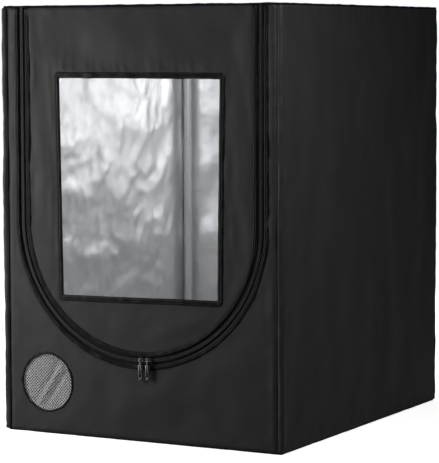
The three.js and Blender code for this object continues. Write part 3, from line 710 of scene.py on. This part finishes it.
def front_wall():
    """The front panel: two narrow legs and a sill round the door opening."""
    heights = wall_heights(FRONT_STEP)
    outline = chain(
        level_edge(-SEAM_X, SEAM_X, heights[0]),
        upright_edge(SEAM_X, heights),
        level_edge(SEAM_X, ZIP_COVER_CLOTH, heights[-1]),
        u_line(ZIP_COVER_CLOTH, TOP_SEAM_Z)[::-1],
        level_edge(-ZIP_COVER_CLOTH, -SEAM_X, heights[-1]),
        upright_edge(-SEAM_X, heights[::-1]),
    )

    def room(spots):
        legs = np.minimum(SEAM_X - np.abs(spots[:, 0]), zip_gap(spots, ZIP_COVER_CLOTH))
        return np.minimum(legs, circle_gap(spots, VENT_SPOT, VENT_SHOWN))

    loops = [outline, ring_line(VENT_SPOT, VENT_SHOWN)]
    spots, form = wall_form(loops, room, SEAM_X, heights[1:-1], FRONT_STEP, -1)
    gap = seam_gap(spots)
    vent_side = circle_gap(spots, VENT_SPOT, VENT_RADIUS + VENT_BAND)
    trim = np.minimum(zip_gap(spots, ZIP_COVER_EDGE), vent_side)
    shift = front_relief(form[0], gap, trim, 1 - fade(trim, 0, 45 * MM))
    foil_amount = 1.6 * MM * fade(np.minimum(gap, trim), 10 * MM, 50 * MM)
    return sewn_panel("front_wall_cloth", "front_panel", form, gap, shift, cloth_front, foil_amount)


def door_cloth():
    """The door's cloth, from its seam at the roof down to the zip, with the window's hole."""
    heights = wall_heights(FRONT_STEP)
    heights = heights[heights > ZIP_CENTRE_Z - ZIP_DOOR_EDGE]
    edge_line = u_line(ZIP_DOOR_EDGE, TOP_SEAM_Z)
    outline = chain(edge_line, level_edge(ZIP_DOOR_EDGE, -ZIP_DOOR_EDGE, TOP_SEAM_Z))
    hole = skew(rounded_line(WINDOW_CENTRE, WINDOW_HALF, WINDOW_CORNER)).tolist()

    def room(spots):
        return np.minimum(-zip_gap(spots, ZIP_DOOR_EDGE), window_gap(spots))

    spots, form = wall_form([outline, hole], room, ZIP_DOOR_EDGE, heights[:-1], FRONT_STEP, -1)
    gap = np.maximum(TOP_SEAM_Z - spots[:, 1], 0)
    window_side = window_gap(spots, WINDOW_BAND, WINDOW_CORNER + WINDOW_BAND / 2)
    trim = np.minimum(-zip_gap(spots, ZIP_DOOR_EDGE - BINDING_WIDTH), window_side)
    shift = front_relief(form[0], gap, trim, 1 - fade(trim, 0, 40 * MM))
    foil_amount = 1.4 * MM * fade(np.minimum(gap, trim), 6 * MM, 40 * MM)
    piece = sewn_panel("door_cloth", None, form, gap, shift, cloth_front, foil_amount)
    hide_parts("door_panel")
    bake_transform(piece)
    return piece


def back_wall():
    """The back panel, with the cable port's hole."""
    heights = wall_heights(COARSE_STEP)
    outline = chain(
        level_edge(SEAM_X, -SEAM_X, heights[0]),
        upright_edge(-SEAM_X, heights),
        level_edge(-SEAM_X, SEAM_X, heights[-1]),
        upright_edge(SEAM_X, heights[::-1]),
    )

    def room(spots):
        return np.minimum(SEAM_X - np.abs(spots[:, 0]), circle_gap(spots, PORT_SPOT, PORT_RADIUS))

    loops = [outline, ring_line(PORT_SPOT, PORT_RADIUS)]
    spots, form = wall_form(loops, room, SEAM_X, heights[1:-1], COARSE_STEP, 1)
    gap = seam_gap(spots)
    ring = circle_gap(spots, PORT_SPOT, PORT_RADIUS + PORT_BAND)
    shift = relief(form[0], gap, 1 - fade(ring, 0, 60 * MM))
    foil_amount = 4.2 * MM * fade(np.minimum(gap, ring), 12 * MM, 90 * MM)
    return sewn_panel("back_wall_cloth", "back_panel", form, gap, shift, cloth_front, foil_amount)


def plan_outline(inset):
    """The cover's plan, anticlockwise, drawn in by `inset`, with the walls' own spacing."""
    half_x, half_y = half = (HALF_WIDTH - inset, HALF_DEPTH - inset)
    across = np.concatenate([[FOLD - HALF_WIDTH], spread(-SEAM_X, SEAM_X, FRONT_STEP)])
    along = spread(FOLD - HALF_DEPTH, HALF_DEPTH - FOLD, SIDE_STEP)[:-1]
    right = [(half_x, y) for y in along]
    back = [(-x, half_y) for x in across]
    left = [(-half_x, -y) for y in along]
    spots = [(x, -half_y) for x in across]
    for quarter, straight in enumerate((right, back, left, [])):
        spots += corner_arc(quarter, (0, 0), half, FOLD - inset)[:-1] + straight
    return spots


def level_panel(name, node, up, edge_round, level, foil_most, slot):
    """The roof (up = 1) or the floor (up = -1), rolled down to meet the walls at 45 degrees."""
    inset = edge_round * (1 - COS_45)
    reach = edge_round * COS_45
    half = np.array([HALF_WIDTH - inset, HALF_DEPTH - inset])
    corner = FOLD - inset

    def room(spots):
        return -box_gap(spots, (0, 0), half, corner)

    along = spread(-half[1], half[1], COARSE_STEP)
    grid = np.array([(x, y) for x in spread(-half[0], half[0], COARSE_STEP) for y in along])
    loose = [grid[room(grid) > reach + COARSE_STEP / 2]]
    loose += [plan_outline(inset + share * reach) for share in (0.35, 0.7, 1.0)]
    spots, faces = triangulate([plan_outline(inset)], np.vstack(loose), room)
    gap = np.maximum(room(spots), 0)
    past = np.clip(reach - gap, 0, reach)
    drop = edge_round - np.sqrt(edge_round**2 - past**2)
    points = np.column_stack([spots, level - up * drop])
    away = spots - np.clip(spots, corner - half, half - corner)
    away /= np.maximum(np.linalg.norm(away, axis=1), 1e-9)[:, None]
    lean = past / edge_round
    normals = np.column_stack([away * lean[:, None], up * np.sqrt(1 - lean**2)])
    if up > 0:
        shift = relief(points, gap) - 4.5 * MM * fade(gap, 15 * MM, 0.26)
    else:
        faces = [face[::-1] for face in faces]
        shift = np.minimum(np.where(gap > 20 * MM, 0, relief(points, gap, 1.0)), 0.1 * MM)
    foil_amount = foil_most * fade(gap, 12 * MM, 90 * MM)
    form = (points, normals, faces)
    piece = sewn_panel(name, None, form, gap, shift, cloth_flat, foil_amount, 0.6 * SEAM_SHADE_REACH)
    return finish_piece(piece, "tent", slot, node)


# ---- bands, tapes and stitches


def roof_piping():
    """The bound seam round the roof's edge."""
    spots = np.array(plan_outline(TOP_ROUND * (1 - COS_45)))
    path = np.column_stack([spots, np.full(len(spots), TOP_SEAM_Z)])
    path[:, 2] += 0.25 * MM * noise(path, 0.05, 22)
    path[:, :2] -= 0.4 * MM * spots / np.linalg.norm(spots, axis=1)[:, None]
    bead = tube_along("roof_piping", path, 1.7 * MM, piping_and_seam_shade_cloth, 12, True)
    return finish_piece(bead, "tent", "binding_cloth")


def u_frames(radius, step=4 * MM):
    """Points down and round the zip at a radius, with outward-from-centre and -Y unit vectors."""
    spots = np.array(u_line(radius, ZIP_TOP, step))
    points = np.column_stack([spots[:, 0], edge_profile(spots[:, 1])[0] - HALF_DEPTH, spots[:, 1]])
    centre_z = np.maximum(spots[:, 1], ZIP_CENTRE_Z)
    side = np.column_stack([spots[:, 0], np.zeros(len(spots)), spots[:, 1] - centre_z])
    side /= np.linalg.norm(side, axis=1)[:, None]
    return points, side, np.tile([0.0, -1.0, 0.0], (len(spots), 1))


def ring_frames(spots, face):
    """Frames for a closed band on the front (face -1) or back (face 1)."""
    ahead = np.roll(spots, -1, axis=0) - np.roll(spots, 1, axis=0)
    ahead /= np.linalg.norm(ahead, axis=1)[:, None]
    points = np.column_stack([spots[:, 0], np.full(len(spots), face * HALF_DEPTH), spots[:, 1]])
    side = np.column_stack([ahead[:, 1], np.zeros(len(spots)), -ahead[:, 0]])
    return points, side, np.tile([0.0, float(face), 0.0], (len(spots), 1))


def swayed(frames, amount, seed):
    """The same path, wandering sideways as a hand-guided seam does."""
    points, side, out = frames
    wander = noise(points, 0.05, seed) + 0.5 * noise(points, 0.02, seed + 1)
    return points + side * (amount * wander)[:, None], side, out


def band(name, body, node, frames, width, height, grooves, seed, wobble, closed=True):
    """A folded strip along a path: a soft top with sewn grooves, puckered, over a flat back."""
    swell = wobble * noise(frames[0], 0.013, seed) + 0.5 * wobble * noise(frames[0], 0.04, seed + 1)
    widen = 0.5 * MM * noise(frames[0], 0.022, seed + 2)
    back = -0.1 * MM
    across = np.linspace(-1, 1, 15)

    def section(i):
        top = height * (1 - np.abs(across) ** 5) * (1 + swell[i])
        for groove in grooves:
            top -= 0.45 * height * np.exp(-(((across - groove) / 0.10) ** 2))
        half = width / 2 + widen[i]
        upper = np.column_stack([across * half, back + np.maximum(top, 0.12 * height)])
        lower = np.column_stack([across[::-1] * half * 0.98, np.full(len(across), back)])
        return np.vstack([upper, lower])

    return finish_piece(sweep(name, frames, section, binding, closed), body, "binding_cloth", node)


def stitches(name, body, frames, sideways, lift, closed=True, pitch=4.6 * MM, length=3.3 * MM):
    """A row of short thread stitches beside a path, each a small tapered bar."""
    points, side, out = frames
    line = points + side * sideways + out * lift
    if closed:
        line, out = np.vstack([line, line[:1]]), np.vstack([out, out[:1]])
    run = np.concatenate([[0], np.cumsum(np.linalg.norm(np.diff(line, axis=0), axis=1))])
    centres = np.arange(pitch, run[-1] - pitch / 2, pitch)

    def at(values, ahead=0.0):
        return np.column_stack([np.interp(centres + ahead, run, values[:, i]) for i in range(3)])

    place, lean = at(line), at(out)
    ahead = at(line, 0.1 * MM) - at(line, -0.1 * MM)
    ahead /= np.linalg.norm(ahead, axis=1)[:, None]
    across = np.cross(ahead, lean)
    radius = 0.32 * MM

    def ring(station, a):
        along, swell, rise = station
        spoke = across * math.cos(a) + lean * math.sin(a)
        return place + ahead * (along * length) + lean * (rise * radius) + spoke * (radius * swell)

    stations = [(-0.5, 0.45, -0.5), (-0.3, 1.0, 0.25), (0.3, 1.0, 0.25), (0.5, 0.45, -0.5)]
    return finish_piece(small_bars(name, stations, 5, ring, thread), body, "binding_cloth")


def window_trim():
    """The strip round the window, with its two rows of stitches."""
    half = (WINDOW_HALF[0] + WINDOW_BAND / 2, WINDOW_HALF[1] + WINDOW_BAND / 2)
    spots = skew(rounded_line(WINDOW_CENTRE, half, WINDOW_CORNER + 1 * MM, 4 * MM))
    frames = swayed(ring_frames(spots, -1), 0.5 * MM, 27)
    grooves = (-0.62, 0.1, 0.62)
    band("window_band", "door", "window_binding", frames, 10.5 * MM, 1.7 * MM, grooves, 21, 0.5)
    stitches("window_stitches_outer", "door", frames, 3.2 * MM, 1.0 * MM)
    stitches("window_stitches_inner", "door", frames, -2.9 * MM, 1.0 * MM)


def window_sheet():
    """The clear sheet, with the faint ripples of soft vinyl."""
    low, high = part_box("door_window")
    tuck = 6 * MM
    half = (WINDOW_HALF[0] + tuck, WINDOW_HALF[1] + tuck)
    left_foot = (-half[0], low.y, WINDOW_CENTRE[1] - half[1])
    right_head = (half[0], low.y, WINDOW_CENTRE[1] + half[1])
    points, faces = upright_sheet(left_foot, right_head, 8 * MM)
    inside = -box_gap(points[:, (0, 2)], WINDOW_CENTRE, WINDOW_HALF, WINDOW_CORNER)
    points[:, (0, 2)] = skew(points[:, (0, 2)])
    ripple = noise(points, 0.13, 31) + 0.4 * noise(points, 0.05, 32)
    points[:, 1] += 0.9 * MM * ripple * fade(inside, 0, 60 * MM)
    back = points + (0, high.y - low.y, 0)
    piece = make_shell("window_sheet", points, back, faces, [clear_sheet, clear_sheet])
    return finish_piece(piece, "door", "clear_sheet", "door_window")


def zip_side(owner, body, sign, edge, seed):
    """One side of the zip: its folded strip, its stitches, its tape and its row of teeth."""
    frames = swayed(u_frames(edge + sign * BINDING_WIDTH / 2), 0.7 * MM, seed + 5)
    grooves = (0.5 * sign, -0.15 * sign)
    width = BINDING_WIDTH + 1.2 * MM
    strip, node = f"{owner}_zip_strip", f"{owner}_edge_binding"
    band(strip, body, node, frames, width, 1.8 * MM, grooves, seed, 0.6, False)
    stitches(f"{owner}_zip_stitches", body, frames, sign * 1.8 * MM, 0.9 * MM, False)

    tape_low, tape_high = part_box("cover_zip_tape")
    inner = ZIP_LINE + sign * 0.15 * MM
    outer = edge + sign * BINDING_WIDTH
    half = abs(outer - inner) / 2
    across = np.linspace(-half, half, 17)
    ribs = 0.12 * MM * np.abs(np.sin(np.linspace(0, 5 * np.pi, len(across))))
    front = -(tape_low.y + HALF_DEPTH) - 0.1 * MM + ribs
    back = np.full(len(across), -(tape_high.y + HALF_DEPTH))
    section = np.vstack([np.column_stack([across, front]), np.column_stack([across[::-1], back])])
    tape_frames = u_frames((inner + outer) / 2)
    tape = sweep(f"{owner}_zip_tape_band", tape_frames, lambda i: section, tape_cloth, False)
    finish_piece(tape, body, "zip_tape", f"{owner}_zip_tape")
    finish_piece(zip_teeth(f"{owner}_zip_teeth", sign), body, "zip_coil", f"{owner}_zip_coil")


def zip_teeth(name, sign):
    """One row of nylon coil: a rounded loop for each turn, reaching just past the zip's line."""
    pitch = 2.0 * MM
    coil_low, coil_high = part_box("cover_zip_coil")
    half_depth = (coil_high.y - coil_low.y) / 2
    centre = -((coil_low.y + coil_high.y) / 2 + HALF_DEPTH)
    half_width = 0.43 * pitch
    points, side, out = u_frames(ZIP_LINE, pitch)
    ahead = np.gradient(points, axis=0)
    ahead /= np.linalg.norm(ahead, axis=1)[:, None]
    if sign < 0:
        points = points[:-1] + 0.5 * (points[1:] - points[:-1])
        side, out, ahead = side[:-1], out[:-1], ahead[:-1]

    def ring(station, a):
        along, swell = station
        wide = ahead * (half_width * swell * math.cos(a))
        tall = out * (centre + half_depth * swell * math.sin(a))
        return points + side * (sign * along * MM) + wide + tall

    stations = [(-0.9, 0.55), (-0.3, 1.0), (2.6, 1.0), (3.5, 0.7)]
    return small_bars(name, stations, 6, ring, coil_plastic)


# ---- vent


def vent_trim():
    """The strip round the vent, a little out of true, with its stitches."""
    radius = VENT_SHOWN + 1.6 * MM
    spots = np.array(ring_line(VENT_SPOT, radius, 3 * MM))
    lifted = np.column_stack([spots, np.zeros(len(spots))])
    wander = 0.9 * MM * noise(lifted, 0.022, 64)
    spots = spots + (spots - np.array(VENT_SPOT)) / radius * wander[:, None]
    frames = ring_frames(spots, -1)
    band("vent_band", "tent", "vent_ring", frames, 3.6 * MM, 1.3 * MM, (0.0,), 61, 0.4)
    stitches("vent_stitches", "tent", frames, 0, 0.75 * MM, True, 3.6 * MM, 2.5 * MM)


def vent_fold(spot):
    """How far the net stands out along its diagonal fold, less towards the sewn edge."""
    away = (spot - np.array(VENT_SPOT)) / MM
    across = away @ VENT_FOLD_ACROSS - 8
    rim = 1 - min(1.0, math.hypot(*away) * MM / VENT_SHOWN) ** 4
    ridge = 4.2 * math.exp(-((across / 4.2) ** 2))
    troughs = 2.4 * math.exp(-(((abs(across) - 11) / 5) ** 2))
    return rim * MM * (ridge - troughs)


def vent_net():
    """A knitted diamond net: two crossing sets of flat strands inside a round edge."""
    pitch = 3.9 * MM
    half_width = 0.50 * MM
    half_thickness = 0.35 * MM
    radius = VENT_SHOWN + 2 * MM
    base_y = middle("vent_mesh").y
    count = int(radius / pitch)
    points, faces = [], []
    for turn in (1, -1):
        direction = np.array([COS_45, turn * COS_45])
        normal = np.array([-direction[1], direction[0]])
        for strand in range(-count, count + 1):
            offset = strand * pitch
            reach = math.sqrt(radius**2 - offset**2)
            steps = max(3, int(2 * reach / (pitch / 2)))
            faces += ring_faces(steps, 4, len(points))
            for t in np.linspace(-reach, reach, steps):
                spot = np.array(VENT_SPOT) + direction * t + normal * offset
                wave = 0.2 * MM * turn * math.cos(math.pi * (t / pitch + strand)) - vent_fold(spot)
                for w, d in ((-1, -1), (1, -1), (1, 1), (-1, 1)):
                    x, z = spot + normal * (w * half_width)
                    points.append((x, base_y + wave + d * half_thickness, z))
    return finish_piece(make_solid("vent_net", points, faces, [net_cloth]), "tent", "vent_net", "vent_mesh")


def flap_room(spots, radius, trim=0.0):
    """Distance inside the flap: a round lobe, less trim, with a square head and a tongue."""
    x = np.abs(spots[:, 0] - VENT_SPOT[0])
    z = spots[:, 1] - VENT_SPOT[1]
    lobe = radius - trim - np.hypot(x, z)
    head = np.minimum(0.7 * radius - x, z)
    tongue = np.minimum(15 * MM - x, -z)
    return np.maximum(lobe, np.maximum(head, tongue))


def vent_backing():
    """The foil-faced flap, with a soft diagonal crease, and its fastening patches; its foil is painted
    dark, as painted shade behind the vent net.
    """
    low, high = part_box("vent_flap")
    radius = (high.x - low.x) / 2
    step = 3.5 * MM
    across = spread(low.x, high.x, step)
    grid = np.array([(x, z) for z in spread(low.z, high.z, step) for x in across])
    grid = grid[flap_room(grid, radius, 1 * MM) > 0]
    spots, faces = triangulate([], grid, lambda centres: flap_room(centres, radius))
    front = np.column_stack([spots[:, 0], np.full(len(spots), low.y), spots[:, 1]])
    diagonal = (spots - np.array(VENT_SPOT)) @ VENT_FOLD_ACROSS - 8 * MM
    fold = 1.3 * MM * np.exp(-((diagonal / (7 * MM)) ** 2)) + 0.6 * MM * ridges(front, 0.03, 71)
    below_head = fade(high.z - 6 * MM - spots[:, 1], 0, 14 * MM)
    above_tongue = fade(spots[:, 1] - low.z - 14 * MM, 0, 8 * MM)
    front[:, 1] += fold * below_head * above_tongue
    back = front + (0, 1.2 * MM, 0)
    piece = recalculate(make_shell("vent_flap_foil", front, back, faces, [flap_foil_painted_dark, flap_foil_painted_dark]))
    finish_piece(piece, "vent_flap", "foil_cloth", "vent_flap")
    for node, body in (("vent_hook_patch", "vent_flap"), ("vent_loop_patch", "tent")):
        finish_piece(fuzzy_patch(node), body, "hook_and_loop", node)


def fuzzy_patch(node):
    """A fastening patch whose pile stands up in rows of small tufts."""
    low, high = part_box(node)
    front, faces = upright_sheet(low, high, 1.0 * MM)
    back = front + (0, high.y - low.y, 0)
    front[:, 1] += (np.arange(len(front)) % 2) * 0.18 * MM
    return make_shell(f"{node}_pile", front, back, faces, [hook_cloth, hook_cloth])


# ---- frame


def smooth_tube(node):
    """A steel tube with rolled ends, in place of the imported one."""
    low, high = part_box(node)
    size = high - low
    axis = max(range(3), key=lambda i: size[i])
    radius, end = min(size) / 2, size[axis] / 2
    wall = 0.8 * MM
    lip = 0.6 * MM
    profile = [
        (radius - lip, -end), (radius, lip - end), (radius, end - lip), (radius - lip, end),
        (radius - wall, end), (radius - wall, -end),
    ]
    turns = 32
    angle = np.linspace(0, 2 * math.pi, turns, endpoint=False)
    spokes = np.zeros((turns, 3))
    spokes[:, (axis + 1) % 3] = np.cos(angle)
    spokes[:, (axis + 2) % 3] = np.sin(angle)
    frames = np.tile(middle(node), (turns, 1)), spokes, np.tile(np.eye(3)[axis], (turns, 1))
    piece = sweep(f"{node}_steel", frames, lambda i: profile, tube_paint, True)
    piece.data.set_sharp_from_angle(angle=math.radians(40))
    return finish_piece(piece, "tent", "tube_paint", node)


def soften(node, item, width, segments=2):
    """A packed hard part: its own mesh, welded, with rounded edges."""
    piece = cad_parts[node]
    piece.data.materials.clear()
    piece.data.materials.append(item)
    weld = piece.modifiers.new("weld", "WELD")
    weld.merge_threshold = 0.01 * MM
    edge = piece.modifiers.new("edge", "BEVEL")
    edge.width = width
    edge.segments = segments
    edge.limit_method = "ANGLE"
    edge.angle_limit = math.radians(35)
    edge.harden_normals = True
    piece.data.polygons.foreach_set("use_smooth", np.full(len(piece.data.polygons), True))


def hard_parts():
    """The frame's tubes and connectors, the sliders and pulls, and the cord lock's body."""
    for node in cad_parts:
        if node.startswith(("tube_", "post_")):
            smooth_tube(node)
        if node.startswith("connector_"):
            soften(node, connector_plastic, 0.5 * MM)
    for side in ("left", "right"):
        soften(f"zip_slider_{side}", zip_metal, 0.28 * MM)
        soften(f"zip_pull_{side}", zip_metal, 0.25 * MM)
    soften("cord_lock_barrel", lock_plastic, 0.8 * MM, 3)
    soften("cord_lock_plunger", lock_plastic, 0.5 * MM, 3)


# ---- cable port


def port_trim():
    """The strip round the cable port, with its two rows of stitches."""
    spots = np.array(ring_line(PORT_SPOT, PORT_RADIUS + PORT_BAND / 2))
    frames = ring_frames(spots, 1)
    grooves = (-0.6, 0.6)
    band("cable_port_band", "tent", "cable_port_ring", frames, PORT_BAND, 1.5 * MM, grooves, 81, 0.35)
    stitches("cable_port_stitches_outer", "tent", frames, 2.7 * MM, 0.95 * MM)
    stitches("cable_port_stitches_inner", "tent", frames, -2.7 * MM, 0.95 * MM)


def gathered_sleeve():
    """The sleeve, pleated where the cord draws it in."""
    low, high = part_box("cable_port_sleeve")
    inside = low.y - HALF_DEPTH
    neck = middle("cable_port_drawcord").y - HALF_DEPTH
    neck_radius = 25.2 * MM
    mouth = high.y - HALF_DEPTH
    stations = [
        (inside, 43 * MM, 0.0), (inside + 0.4 * MM, 36.5 * MM, 0.0), (-1 * MM, 34.8 * MM, 0.0),
        (2.5 * MM, 34.8 * MM, 0.2), (neck - 6 * MM, 30.5 * MM, 0.7), (neck - 3 * MM, neck_radius, 1.0),
        (neck, neck_radius - 0.4 * MM, 1.0), (neck + 3 * MM, neck_radius, 1.0),
        (neck + 6 * MM, 27.6 * MM, 1.3), (mouth - 1 * MM, 29.4 * MM, 1.6), (mouth, 29.0 * MM, 1.6),
    ]
    turns = 420
    angle = np.linspace(0, 2 * math.pi, turns, endpoint=False)
    across, up = np.cos(angle), np.sin(angle)
    outer, inner = [], []
    for y, radius, pleat in stations:
        seedline = np.column_stack([across, up, np.full(turns, y * 8)])
        folds = np.sin(23 * angle + 3.4 * noise(seedline, 0.7, 91)) * (1 + 0.5 * noise(seedline, 0.4, 94))
        ruffled = radius + pleat * (0.8 * MM * folds + 0.5 * MM * noise(seedline, 0.2, 92))
        frill = 0.5 * pleat * MM * noise(seedline, 0.3, 93) * (y > neck + 4 * MM)
        depth = HALF_DEPTH + np.minimum(y + frill, mouth)
        for store, reach in ((outer, ruffled), (inner, ruffled - 1.0 * MM)):
            store.append(np.column_stack([PORT_SPOT[0] + reach * across, depth, PORT_SPOT[1] + reach * up]))
    faces = ring_faces(2 * len(stations), turns, 0, True)
    slots = np.repeat([0, 1], len(stations) * turns)
    points = np.vstack(outer + inner[::-1])
    piece = make_solid("cable_port_gather", points, faces, [cloth_front, sleeve_inside], slots)
    return finish_piece(piece, "tent", "cover_cloth", "cable_port_sleeve")


def drawcord():
    """The cord's loop round the neck and its two tails, with a braid's small bumps."""
    low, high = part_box("cable_port_drawcord")
    y = (low.y + high.y) / 2
    radius = (high.x - low.x) / 2 - 1.4 * MM
    spread_y = (high.y - low.y) / 2 - 1.4 * MM
    turn = np.linspace(-math.pi / 2 + 0.1, 1.5 * math.pi - 0.1, 150)
    share = np.linspace(-1, 1, len(turn))
    loop = np.column_stack([
        PORT_SPOT[0] + radius * np.cos(turn), y + spread_y * share, PORT_SPOT[1] + radius * np.sin(turn)
    ])
    down = spread(PORT_SPOT[1] - radius - 2.5 * MM, low.z + 1 * MM, 1.5 * MM)
    left, right = (
        np.column_stack([np.full(len(down), PORT_SPOT[0]), np.full(len(down), y + sway), down])
        for sway in (-spread_y, spread_y)
    )
    path = np.vstack([left[::-1], loop[2:-2], right])
    radii = 1.3 * MM * (1 + 0.05 * np.sin(900 * np.linspace(0, 1, len(path))))
    piece = tube_along("drawcord_braid", path, radii, cord_cloth, 14)
    return finish_piece(piece, "tent", "cord_cloth", "cable_port_drawcord")


def lock_spring():
    """The cord lock's coil spring, which on the real lock shortens as its plunger is pressed; here it is
    built at one length.
    """
    low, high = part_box("cord_lock_spring")
    centre = (low + high) / 2
    wire = 0.4 * MM
    radius = (high.z - low.z) / 2 - wire
    coils = 5
    t = np.linspace(0, 1, 160)
    path = np.column_stack([
        low.x + wire + (high.x - low.x - 2 * wire) * t,
        centre.y + radius * np.cos(2 * math.pi * coils * t),
        centre.z + radius * np.sin(2 * math.pi * coils * t),
    ])
    piece = tube_along("lock_spring_coil", path, wire, spring_steel, 10)
    finish_piece(piece, "cord_lock", "spring_steel", "cord_lock_spring")
    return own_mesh(piece)


# ---- studio


def add_light(name, place, target, energy, size):
    """A soft rectangular lamp that lights the tent and isn't seen itself."""
    data = bpy.data.lights.new(name, "AREA")
    data.energy = energy
    data.shape = "RECTANGLE"
    data.size, data.size_y = size
    lamp = bpy.data.objects.new(name, data)
    lamp.location = place
    lamp.rotation_euler = (Vector(target) - Vector(place)).to_track_quat("-Z", "Y").to_euler()
    lamp.visible_camera = False
    bpy.context.scene.collection.objects.link(lamp)
    return data


def white_room():
    """A background that is white to the camera and only a faint glow to the tent."""
    scene = bpy.context.scene
    scene.view_settings.view_transform = "Standard"
    scene.view_settings.look = "None"
    scene.world = bpy.data.worlds.new("studio")
    scene.world.use_nodes = True
    tree = scene.world.node_tree
    white = (1, 1, 1, 1)
    glow = tree.nodes["Background"]
    feed(glow.inputs["Color"], white)
    feed(glow.inputs["Strength"], 0.032)
    seen = add_node(tree, "Background", {"Color": white, "Strength": 1.0})[0]
    direct = add_node(tree, "LightPath", {})["Is Camera Ray"]
    mix = add_node(tree, "MixShader", {0: direct, 1: glow.outputs[0], 2: seen})[0]
    feed(tree.nodes["World Output"].inputs["Surface"], mix)


def white_floor():
    """A floor that glows white to the camera only, a painted light that is dimmed near the tent as painted
    shade round it; to other rays it is dark grey.
    """
    finish, tree, surface, place = new_material("studio_floor")
    feed(surface["Roughness"], 0.8)
    feed(surface["Emission Color"], (1, 1, 1, 1))
    direct = add_node(tree, "LightPath", {})["Is Camera Ray"]
    feed(surface["Base Color"], tint(tree, direct, (0.25, 0.25, 0.25), (0.9, 0.9, 0.9)))
    # The floor's painted glow: 0.8 within 0.4 m of the middle, rising to 1 past 0.85 m, so the floor is
    # painted darker round the tent.
    away = add_node(tree, "VectorMath", {0: place}, operation="LENGTH")["Value"]
    inputs = {"Value": away, "From Min": 0.40, "From Max": 0.85, "To Min": 0.80, "To Max": 1.0}
    glow_dimmed_near_tent = add_node(tree, "MapRange", inputs, interpolation_type="SMOOTHSTEP")["Result"]
    feed(surface["Emission Strength"], maths(tree, "MULTIPLY", direct, glow_dimmed_near_tent))
    size = 60
    corners = [(-size, -size, 0), (size, -size, 0), (size, size, 0), (-size, size, 0)]
    floor = make_object("studio_floor", corners, [(0, 1, 2, 3)], [finish], smooth=False)
    floor.location.z = -0.2 * MM


def studio():
    white_room()
    white_floor()
    add_light("key", (-0.80, -0.80, 0.47), (-0.24, -0.32, 0.33), 6.2, (0.30, 0.9))
    fill = add_light("fill", (0.80, -0.66, 1.16), (0.28, -0.36, 0.50), 2.2, (0.30, 0.30))
    fill.spread = math.radians(105)
    add_light("back", (-0.8, 1.5, 1.0), (-0.15, 0.3, 0.4), 17, (0.8, 0.8))
    add_light("inside", (0.17, -0.12, 0.60), (-0.24, 0.08, 0.45), 2.2, (0.18, 0.18))


def camera():
    """The viewing angle: right of the door and a little above the middle."""
    turn, tilt, roll = math.radians(28.52), math.radians(85.12), math.radians(-0.195)
    data = bpy.data.cameras.new("camera")
    data.sensor_width = 36
    data.lens = 171.9
    data.clip_end = 200
    eye = bpy.data.objects.new("camera", data)
    eye.location = (1.919, -3.567, 0.685)
    aim = Matrix.Rotation(turn, 3, "Z") @ Matrix.Rotation(tilt, 3, "X") @ Matrix.Rotation(roll, 3, "Z")
    eye.rotation_euler = aim.to_euler()
    bpy.context.scene.collection.objects.link(eye)
    bpy.context.scene.camera = eye


# ---- assembly

side_wall("right_wall_cloth", 1, "right_panel")
side_wall("left_wall_cloth", -1, "left_panel")
front_wall()
door_cloth()
back_wall()
level_panel("roof_cloth", "roof_panel", 1, TOP_ROUND, HEIGHT, 3.0 * MM, "cover_cloth")
level_panel("floor_cloth", "floor_panel", -1, BOTTOM_ROUND, 0.0, 1.2 * MM, "floor_cloth")
roof_piping()
window_trim()
window_sheet()
zip_side("cover", "tent", 1, ZIP_COVER_CLOTH, 41)
zip_side("door", "door", -1, ZIP_DOOR_EDGE, 51)
vent_trim()
vent_net()
vent_backing()
port_trim()
gathered_sleeve()
drawcord()
lock_spring()
hard_parts()
studio()
camera()
